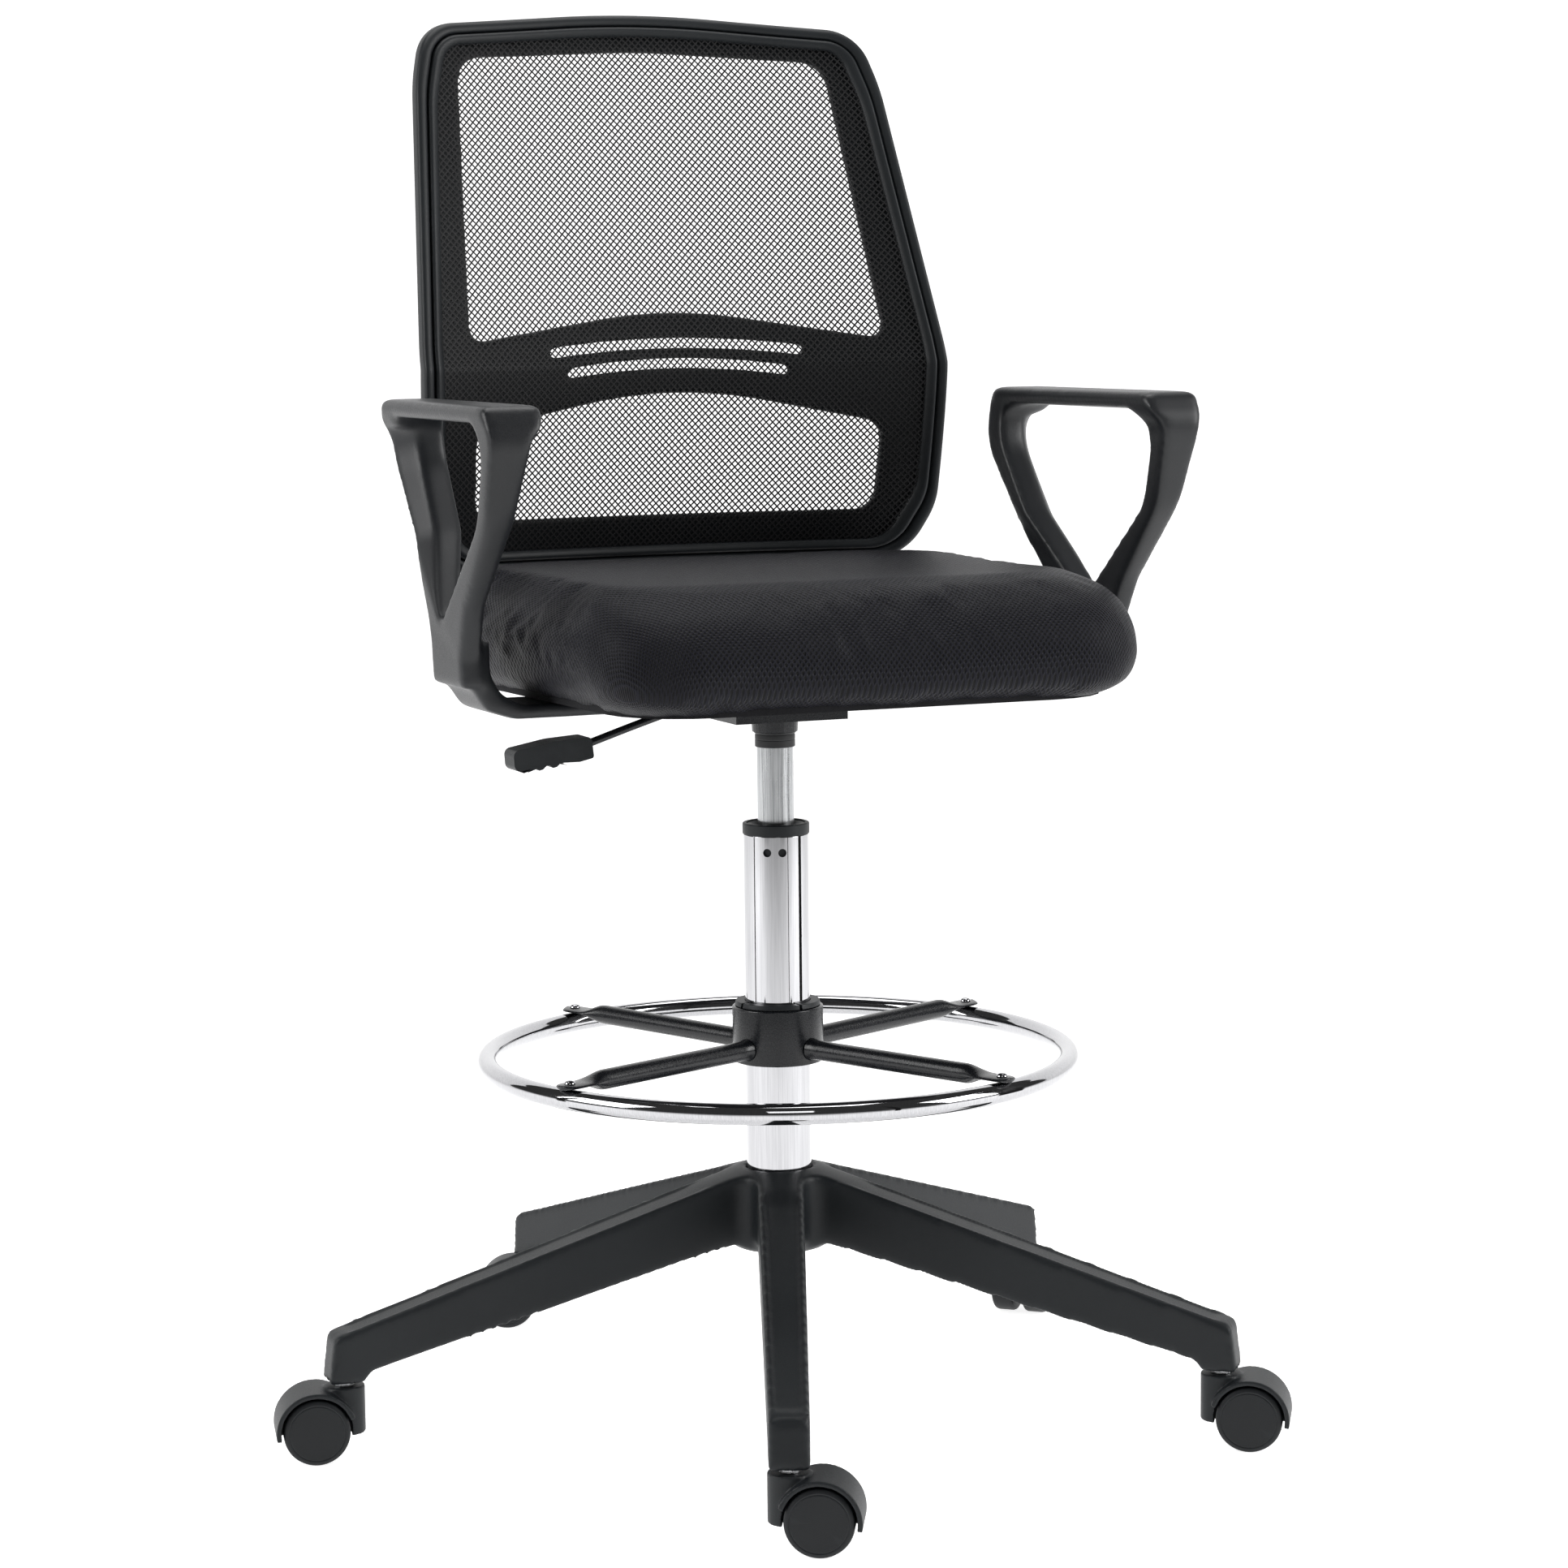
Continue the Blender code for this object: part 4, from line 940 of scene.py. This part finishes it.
# %% [markdown]
# Each armrest is one moulded loop. Its legs thin as they run down to a stalk, and its top
# carries a wider pad. The engineering mesh already has that shape in coarse flats, so it is
# rebuilt as an even skin and smoothed until the corners have the large radii of a hand-friendly
# moulding.

# %% Armrests
def make_armrest(node):
    shape = remeshed(merged_copy(node), 1.5 * MM, 36)
    return piece(
        node + "_loop", shape, ARM_PLASTIC, "seat", "armrest_plastic", node,
        angle=60, weighted=False,
    )


for node in ("armrest_left", "armrest_right"):
    made = make_armrest(node)
    print(made.name, "has", len(made.data.polygons), "faces")

# %% [markdown]
# The backrest is a curved shell with a wide upper opening, two lumbar slots and a lower
# opening. A mesh fabric is stretched over its front and held by an inner ring, which leaves the
# double rim that the front shows. Everything is drawn flat first, as X and height, and then
# bent: one function says how far behind the column each point lies.

# %% Shape of the backrest
def back_depth(x, z):
    """How far behind the column the front of the rim lies."""
    edge = 153 * MM + 73 * MM * max(z - 0.810, 0) / 0.224
    edge += 29 * MM * (max(0.810 - z, 0) / 0.162) ** 1.5
    return edge + 28 * MM * (1 - (x / 0.226) ** 2)


def bent(shape):
    """Bends a flat shape to the backrest and carries it to the chair."""
    for vert in shape.verts:
        vert.co.y += back_depth(vert.co.x, vert.co.z)
        vert.co += COLUMN
    return shape


def outline_at(inset):
    """The backrest's outline, moved in by the inset in millimetres."""
    corners = [
        (199, 648, 44, 14), (221, 693, 60, 8), (223.5, 815, 260, 12),
        (200, 1033, 160, 8), (187, 1079, 36, 14), (0, 1093, 900, 24),
    ]
    right = []
    for x, z, radius, steps in corners:
        up = (z - 869) / 221
        right.append((max(x - inset, 0) if x else 0, z - inset * up, max(radius - inset, 4), steps))
    left = [(-x, z, radius, steps) for x, z, radius, steps in reversed(right) if x]
    return rounded_outline(right + left)


outer_points = outline_at(0)
SPANS = [
    max(1, math.ceil((after - before).length / (7 * MM)))
    for before, after in zip(outer_points, outer_points[1:] + outer_points[:1])
]


def dense_outline(inset):
    """The outline with its long spans divided, the same number of points at every inset."""
    points = outline_at(inset)
    dense = []
    for before, after, count in zip(points, points[1:] + points[:1], SPANS):
        dense += [before.lerp(after, step / count) for step in range(count)]
    return dense


def swept_rim(profile):
    """A closed rim whose section is given as (inset, depth) points in millimetres."""
    shape = bmesh.new()
    loops = []
    for inset, depth in profile:
        verts = [shape.verts.new((point.x, depth * MM, point.y)) for point in dense_outline(inset)]
        loops.append([shape.edges.new(pair) for pair in zip(verts, verts[1:] + verts[:1])])
    for near, far in zip(loops, loops[1:] + loops[:1]):
        bmesh.ops.bridge_loops(shape, edges=near + far)
    bmesh.ops.recalc_face_normals(shape, faces=shape.faces)
    return bent(shape)


print("outline has", len(dense_outline(0)), "points")

# %% Rim, ring and panel
rim_profile = [
    (1.4, 15.2), (0.5, 14.6), (0.1, 13.4), (0, 11), (0, 5), (0.2, 3.2), (0.8, 1.6), (1.8, 0.6),
    (3.2, 0.1), (5.0, 0.1), (6.6, 0.5), (7.8, 1.4), (8.6, 2.8), (8.9, 4.6), (8.9, 8.5), (8.9, 15.2),
]
piece(
    "back_rim", swept_rim(rim_profile), NYLON, "seat", "nylon", "back_shell", weighted=False
)
ring_profile = [
    (9.4, 7.6), (9.4, 1.6), (9.8, 0.2), (10.6, -0.6), (11.8, -0.9), (13.4, -0.5), (15.2, 0.5),
    (16.8, 1.9), (17.7, 3.4), (17.9, 5.0), (17.9, 7.6),
]
piece(
    "back_clamp_ring", swept_rim(ring_profile), NYLON, "seat", "nylon", "back_ring", weighted=False
)
OPENINGS = {
    "upper": [(158, 1053, 22, 10), (0, 1061, 700, 8), (-158, 1053, 22, 10), (-178, 829, 10, 6),
              (0, 856, 400, 12), (178, 829, 10, 6)],
    "lower": [(174, 761, 16, 8), (0, 795, 400, 12), (-174, 761, 16, 8), (-172, 690, 16, 8),
              (172, 690, 16, 8)],
}


def slot_solid(half, height):
    """A long slot that rises to its middle, as a solid to cut with."""
    shape = bmesh.new()
    bmesh.ops.create_grid(shape, x_segments=24, y_segments=1, size=0.5)
    for vert in shape.verts:
        share = vert.co.x * 2
        top = height + 4 + 7 * (1 - share ** 2)
        vert.co = Vector((half * share, -30, top if vert.co.y > 0 else top - 7.5)) * MM
    pushed = bmesh.ops.extrude_face_region(shape, geom=shape.faces[:])["geom"]
    verts = [item for item in pushed if isinstance(item, bmesh.types.BMVert)]
    bmesh.ops.translate(shape, vec=(0, 60 * MM, 0), verts=verts)
    return shape


def make_panel():
    plate = slab(outline_at(5), 8 * MM)
    bmesh.ops.translate(plate, vec=(0, 12 * MM, 0), verts=plate.verts)
    mesh = bpy.data.meshes.new("panel")
    plate.to_mesh(mesh)
    plate.free()
    outlines = [rounded_outline(corners) for corners in OPENINGS.values()]
    cutters = [slab(outline, 60 * MM) for outline in outlines]
    cutters += [slot_solid(109, 820), slot_solid(95, 804)]
    tools = [("DIFFERENCE", tool(cutter, "opening")) for cutter in cutters]
    solid = bmesh.new()
    solid.from_mesh(joined_or_cut(mesh, tools))
    shape = bent(remeshed(solid, 2.3 * MM, 3))
    return piece("back_panel", shape, NYLON, "seat", "nylon", "back_shell", angle=60, weighted=False)


panel = make_panel()
print("panel has", len(panel.data.polygons), "faces")

# %% [markdown]
# The mesh fabric is a diamond net with a hole every 5.5 mm, and light must pass through it, so
# the yarns are real. A grid turned by 45 degrees has each face inset, and the inner faces are
# taken away. What stays is the net. It is then given the thickness of the yarn. It is made in
# four bands, so that each stays light enough to handle, and the bands share their edges.

# %% Mesh fabric
def make_yarn_material():
    material, shader = blank_material(
        "net_yarn", (0.003, 0.003, 0.0035), Sheen_Weight=0.05, Sheen_Roughness=0.4,
        Specular_IOR_Level=0.3,
    )
    tree = material.node_tree
    where = tree.nodes.new("ShaderNodeTexCoord").outputs["Object"]
    fibre = noise_node(tree, where, 2600, 2)
    cloud = noise_node(tree, where, 14, 3)
    share = range_node(tree, cloud, 0.3, 0.7, 0.1, 0.9)
    color_into(tree, shader, share, (0.0022, 0.0022, 0.0028), (0.0065, 0.006, 0.007))
    tree.links.new(range_node(tree, fibre, 0.3, 0.7, 0.45, 0.7), shader.inputs["Roughness"])
    bump_into(tree, shader, fibre, 0.5, 0.0002)
    return material


YARN = make_yarn_material()
NET_STEP = 5.5 * MM
YARN_WIDTH = 1.1 * MM
NET_BANDS = [(0.62, 0.757), (0.757, 0.866), (0.866, 0.975), (0.975, 1.11)]


def inside_outline(x, z, outline):
    """Whether a point lies inside, by counting the outline's crossings to its right."""
    crossings = 0
    for before, after in zip(outline, outline[1:] + outline[:1]):
        if (before.y > z) != (after.y > z):
            at = before.x + (z - before.y) / (after.y - before.y) * (after.x - before.x)
            crossings += at > x
    return crossings % 2 == 1


def net_grid():
    """A grid of diamonds over the whole backrest, trimmed to the clamp ring."""
    side = NET_STEP / math.sqrt(2)
    count = 170
    shape = bmesh.new()
    bmesh.ops.create_grid(shape, x_segments=count, y_segments=count, size=count * side / 2)
    turn = Matrix.Rotation(math.radians(90), 4, "X") @ Matrix.Rotation(math.radians(45), 4, "Z")
    moved(shape, Matrix.Translation((0, 0, 0.87)) @ turn)
    edge = outline_at(16.6)
    outside = [
        face for face in shape.faces
        if not inside_outline(*face.calc_center_median().xz, edge)
    ]
    bmesh.ops.delete(shape, geom=outside, context="FACES")
    return shape


def net_band(grid, low, high, number):
    shape = grid.copy()
    away = [face for face in shape.faces if not low <= face.calc_center_median().z < high]
    bmesh.ops.delete(shape, geom=away, context="FACES")
    cells = len(shape.faces)
    holes = shape.faces[:]
    bmesh.ops.inset_individual(shape, faces=holes, thickness=YARN_WIDTH / 2, use_even_offset=True)
    bmesh.ops.delete(shape, geom=holes, context="FACES")
    bmesh.ops.solidify(shape, geom=shape.faces[:], thickness=0.5 * MM)
    net_area = sum(face.calc_area() for face in shape.faces) / 2
    bmesh.ops.translate(shape, vec=(0, 2.8 * MM, 0), verts=shape.verts)
    bmesh.ops.recalc_face_normals(shape, faces=shape.faces)
    band = piece(
        f"back_net_{number}", bent(shape), YARN, "seat", "mesh_fabric", "back_mesh", weighted=False
    )
    print(band.name, "has", cells, "holes and", len(band.data.polygons), "faces")


grid = net_grid()
for number, (low, high) in enumerate(NET_BANDS, 1):
    net_band(grid, low, high, number)
grid.free()

# %% [markdown]
# A flat bar, bent up from under the seat, carries the backrest. Its engineering mesh is simple,
# so it only needs its edges rounded.

# %% Bracket
bracket = merged_copy("back_bracket")
soften(bracket, 1.2 * MM, 3, 25)
piece("back_bracket_bar", bracket, BLACK_COAT, "seat", "black_steel", "back_bracket")
print("bracket made")

# %% [markdown]
# The cushion is foam in a knitted air-mesh cover. Foam pushes the cover out, and the cover
# pulls back at its corners and under the edge. A short cloth simulation with air pressure gives
# that balance: the engineering solid is shrunk a little, remeshed evenly, and blown up for
# twenty frames. Each point's travel is capped, so that the cushion stays in its place.

# %% Cushion form
cushion_low, cushion_high = (Vector(corner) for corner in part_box("seat_cushion"))
CUSHION_MIDDLE = (cushion_low + cushion_high) / 2


def cushion_start():
    """The cushion's outer hull, drawn in by a few millimetres so that it can swell."""
    shape = merged_copy("seat_cushion")
    hull = bmesh.ops.convex_hull(shape, input=shape.verts)
    inner = [item for item in hull["geom_interior"] if isinstance(item, bmesh.types.BMVert)]
    bmesh.ops.delete(shape, geom=inner, context="VERTS")
    bmesh.ops.delete(
        shape, geom=[face for face in shape.faces if face not in set(hull["geom"])], context="FACES"
    )
    size = cushion_high - cushion_low
    shrink = Vector([(length - 7 * MM) / length for length in size])
    for vert in shape.verts:
        from_middle = vert.co - CUSHION_MIDDLE
        vert.co = CUSHION_MIDDLE + Vector(a * b for a, b in zip(from_middle, shrink))
        vert.co.z -= 2.5 * MM
    return remeshed(shape, 5 * MM, 6)


def blown_up(mesh, pressure, frames, cap):
    """The mesh after a cloth simulation under pressure, no point moved further than the cap."""
    helper = bpy.data.objects.new("cushion_cloth", mesh)
    bpy.context.scene.collection.objects.link(helper)
    cloth = helper.modifiers.new("cloth", "CLOTH")
    cloth.settings.use_pressure = True
    cloth.settings.uniform_pressure_force = pressure
    cloth.settings.effector_weights.gravity = 0
    cloth.settings.tension_stiffness = 25
    cloth.settings.bending_stiffness = 2
    cloth.point_cache.frame_start = 1
    cloth.point_cache.frame_end = frames
    for frame_number in range(1, frames + 1):
        bpy.context.scene.frame_set(frame_number)
    graph = bpy.context.evaluated_depsgraph_get()
    swollen = helper.evaluated_get(graph).to_mesh()
    for rest, now in zip(mesh.vertices, swollen.vertices):
        travel = now.co - rest.co
        if travel.length > cap:
            travel *= cap / travel.length
        rest.co += travel
    helper.evaluated_get(graph).to_mesh_clear()
    bpy.data.objects.remove(helper, do_unlink=True)
    bpy.context.scene.frame_set(1)
    return mesh


start = cushion_start()
cushion_mesh = bpy.data.meshes.new("cushion")
start.to_mesh(cushion_mesh)
start.free()
cushion_mesh = blown_up(cushion_mesh, 4, 20, 7 * MM)
print("cushion form has", len(cushion_mesh.polygons), "faces")

# %% [markdown]
# Under its edge the cover is pulled round the board and stapled, which leaves shallow gathers.
# The middle of the seat is slightly dished. Both are small moves of points, done before one
# subdivision rounds them.

# %% Gathers and dish
def dress_cushion(mesh):
    shape = bmesh.new()
    shape.from_mesh(mesh)
    shape.normal_update()
    for vert in shape.verts:
        flat = vert.co - CUSHION_MIDDLE
        height = vert.co.z - cushion_low.z
        edge = max(abs(flat.x) / 0.237, abs(flat.y) / 0.222)
        under = (1 - smoothstep(height, 4 * MM, 26 * MM)) * smoothstep(edge, 0.8, 0.95)
        turn = math.atan2(flat.y, flat.x)
        gather = noise.noise(Vector((math.cos(turn) * 6, math.sin(turn) * 6, 0.3)))
        fine = noise.noise(Vector((math.cos(turn) * 17, math.sin(turn) * 17, 2.1)))
        vert.co += vert.normal * under * (1.6 * gather + 0.8 * fine) * MM
        crown = smoothstep(height, 60 * MM, 85 * MM)
        dish = max(1 - (flat.x / 0.19) ** 2, 0) * max(1 - ((flat.y - 0.03) / 0.17) ** 2, 0)
        vert.co.z -= crown * dish * 4 * MM
        low = cushion_low.z + 0.6 * MM
        vert.co.z = min(max(vert.co.z, low), cushion_high.z + 3 * MM)
    bmesh.ops.subdivide_edges(shape, edges=shape.edges, cuts=1, use_grid_fill=True, smooth=0.6)
    for _ in range(7):
        bmesh.ops.smooth_vert(
            shape, verts=shape.verts, factor=0.5, use_axis_x=True, use_axis_y=True, use_axis_z=True
        )
    return shape


def lay_cloth(shape):
    """A UV map in metres: flat on the crown, and down over each side from there."""
    layer = shape.loops.layers.uv.new("cloth")
    for face in shape.faces:
        for loop in face.loops:
            flat = loop.vert.co - CUSHION_MIDDLE
            drop = max(cushion_high.z - 8 * MM - loop.vert.co.z, 0)
            side = Vector((
                math.copysign(smoothstep(abs(flat.x), 0.15, 0.232), flat.x),
                math.copysign(smoothstep(abs(flat.y), 0.14, 0.215), flat.y),
            ))
            if side.length > 1:
                side.normalize()
            loop[layer].uv = (flat.x + side.x * drop, flat.y + side.y * drop)


cushion_shape = dress_cushion(cushion_mesh)
lay_cloth(cushion_shape)
print("cloth laid over", len(cushion_shape.faces), "faces")

# %% [markdown]
# Air mesh is a thick knit with rows of small open cells, pressed in by the bump. The shade that
# falls into the cells is painted: they get a near-black colour, and the ribs between them a
# brighter one. Two grids of cells, one set off by half a step from the other, give the
# staggered rows, and the cloth's own UV map makes them follow the cushion's rolls.

# %% Air-mesh cover
def make_cell_group():
    """Rows of lozenge cells on a UV map: how deep each point lies in a cell, and the ribs."""
    pitches = [("Across", 4.3), ("Along", 6.0)]
    group, given, result = new_group("knit_cells", pitches, ["Cell", "Rib"])
    where = group.nodes.new("ShaderNodeUVMap")
    where.uv_map = "cloth"
    split = group.nodes.new("ShaderNodeSeparateXYZ")
    group.links.new(where.outputs["UV"], split.inputs[0])
    wobble = noise_node(group, where.outputs["UV"], 60, 2)
    shift = math_node(group, "MULTIPLY", math_node(group, "SUBTRACT", wobble, 0.5), 0.35)
    in_mm = [math_node(group, "MULTIPLY", split.outputs[axis], 1000.0) for axis in "XY"]
    u = math_node(group, "DIVIDE", in_mm[0], given.outputs["Across"])
    v = math_node(group, "DIVIDE", in_mm[1], given.outputs["Along"])
    u = math_node(group, "ADD", u, shift)
    v = math_node(group, "ADD", v, shift)
    cells = []
    for offset in (0.0, 0.5):
        parts = []
        for value in (u, v):
            turn = math_node(group, "FRACT", math_node(group, "ADD", value, offset))
            parts.append(math_node(group, "ABSOLUTE", math_node(group, "SUBTRACT", turn, 0.5)))
        squares = [math_node(group, "MULTIPLY", part, part) for part in parts]
        reach = math_node(group, "SQRT", math_node(group, "ADD", *squares))
        cells.append(range_node(group, reach, 0.15, 0.33, 1, 0))
    cell = math_node(group, "MAXIMUM", *cells)
    rib = math_node(group, "SUBTRACT", 1.0, cell)
    group.links.new(cell, result.inputs["Cell"])
    group.links.new(rib, result.inputs["Rib"])
    return group


CELLS = make_cell_group()


def make_air_mesh():
    material, shader = blank_material(
        "air_mesh", (0.004, 0.004, 0.006), Sheen_Weight=0.02, Sheen_Roughness=0.3,
        Specular_IOR_Level=0.15,
    )
    tree = material.node_tree
    knit = tree.nodes.new("ShaderNodeGroup")
    knit.node_tree = CELLS
    where = tree.nodes.new("ShaderNodeTexCoord").outputs["Object"]
    fibre = noise_node(tree, where, 2400, 2)
    cloud = noise_node(tree, where, 11, 4)
    drift = range_node(tree, cloud, 0.3, 0.7, 0.75, 1)
    # Painted shade in the cells: near-black where the cells lie, brighter on the ribs, with a slow
    # random drift of tone from the cloud.
    tone = math_node(tree, "MULTIPLY", knit.outputs["Rib"], drift)
    color_into(tree, shader, tone, (0.0006, 0.0006, 0.0010), (0.0056, 0.0058, 0.0110))
    tree.links.new(range_node(tree, fibre, 0.3, 0.7, 0.38, 0.6), shader.inputs["Roughness"])
    height = math_node(tree, "ADD", knit.outputs["Rib"], math_node(tree, "MULTIPLY", fibre, 0.15))
    bump_into(tree, shader, height, 0.9, 0.0007)
    return material


AIR_MESH = make_air_mesh()
cushion = piece(
    "seat_cushion_cover", cushion_shape, AIR_MESH, "seat", "seat_fabric", "seat_cushion",
    angle=180, weighted=False,
)
print("cushion cover has", len(cushion.data.polygons), "faces")

# %% [markdown]
# Under the cushion, the plywood board is wrapped in black non-woven cloth, which keeps dust out
# of the foam. It is felt-like: short fibres pressed flat in every direction, and no gloss.

# %% Cloth on the board
def make_underlay():
    material, shader = blank_material("nonwoven_underlay", (0.008, 0.008, 0.009), Specular_IOR_Level=0.2)
    tree = material.node_tree
    where = tree.nodes.new("ShaderNodeTexCoord").outputs["Object"]
    fibre = noise_node(tree, where, 900, 4)
    cloud = noise_node(tree, where, 16, 3)
    share = math_node(tree, "MULTIPLY", range_node(tree, cloud, 0.3, 0.7, 0.4, 1), fibre)
    color_into(tree, shader, share, (0.003, 0.003, 0.004), (0.016, 0.016, 0.018))
    tree.links.new(range_node(tree, fibre, 0.3, 0.7, 0.75, 0.95), shader.inputs["Roughness"])
    bump_into(tree, shader, fibre, 0.6, 0.0004)
    return material


UNDERLAY = make_underlay()
print("cloth for the board ready")

# %% [markdown]
# The pieces that stay as engineering nodes are small turned or pressed parts, mostly hidden.
# Their shapes are right, so they only get their materials.

# %% Materials for the carried-over nodes
def coat_node(node, material):
    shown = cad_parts[node]
    shown.data.materials.clear()
    shown.data.materials.append(material)


steel_nodes = ["piston_rod", "thrust_bearing", "rod_clip", "release_pin"]
for number in range(1, 6):
    steel_nodes += [f"caster_{number}_stem", f"caster_{number}_axle"]
for node in steel_nodes:
    coat_node(node, STEEL)
coat_node("mechanism_plate", BLACK_COAT)
coat_node("seat_board", UNDERLAY)
print(len(steel_nodes) + 2, "engineering nodes coated")
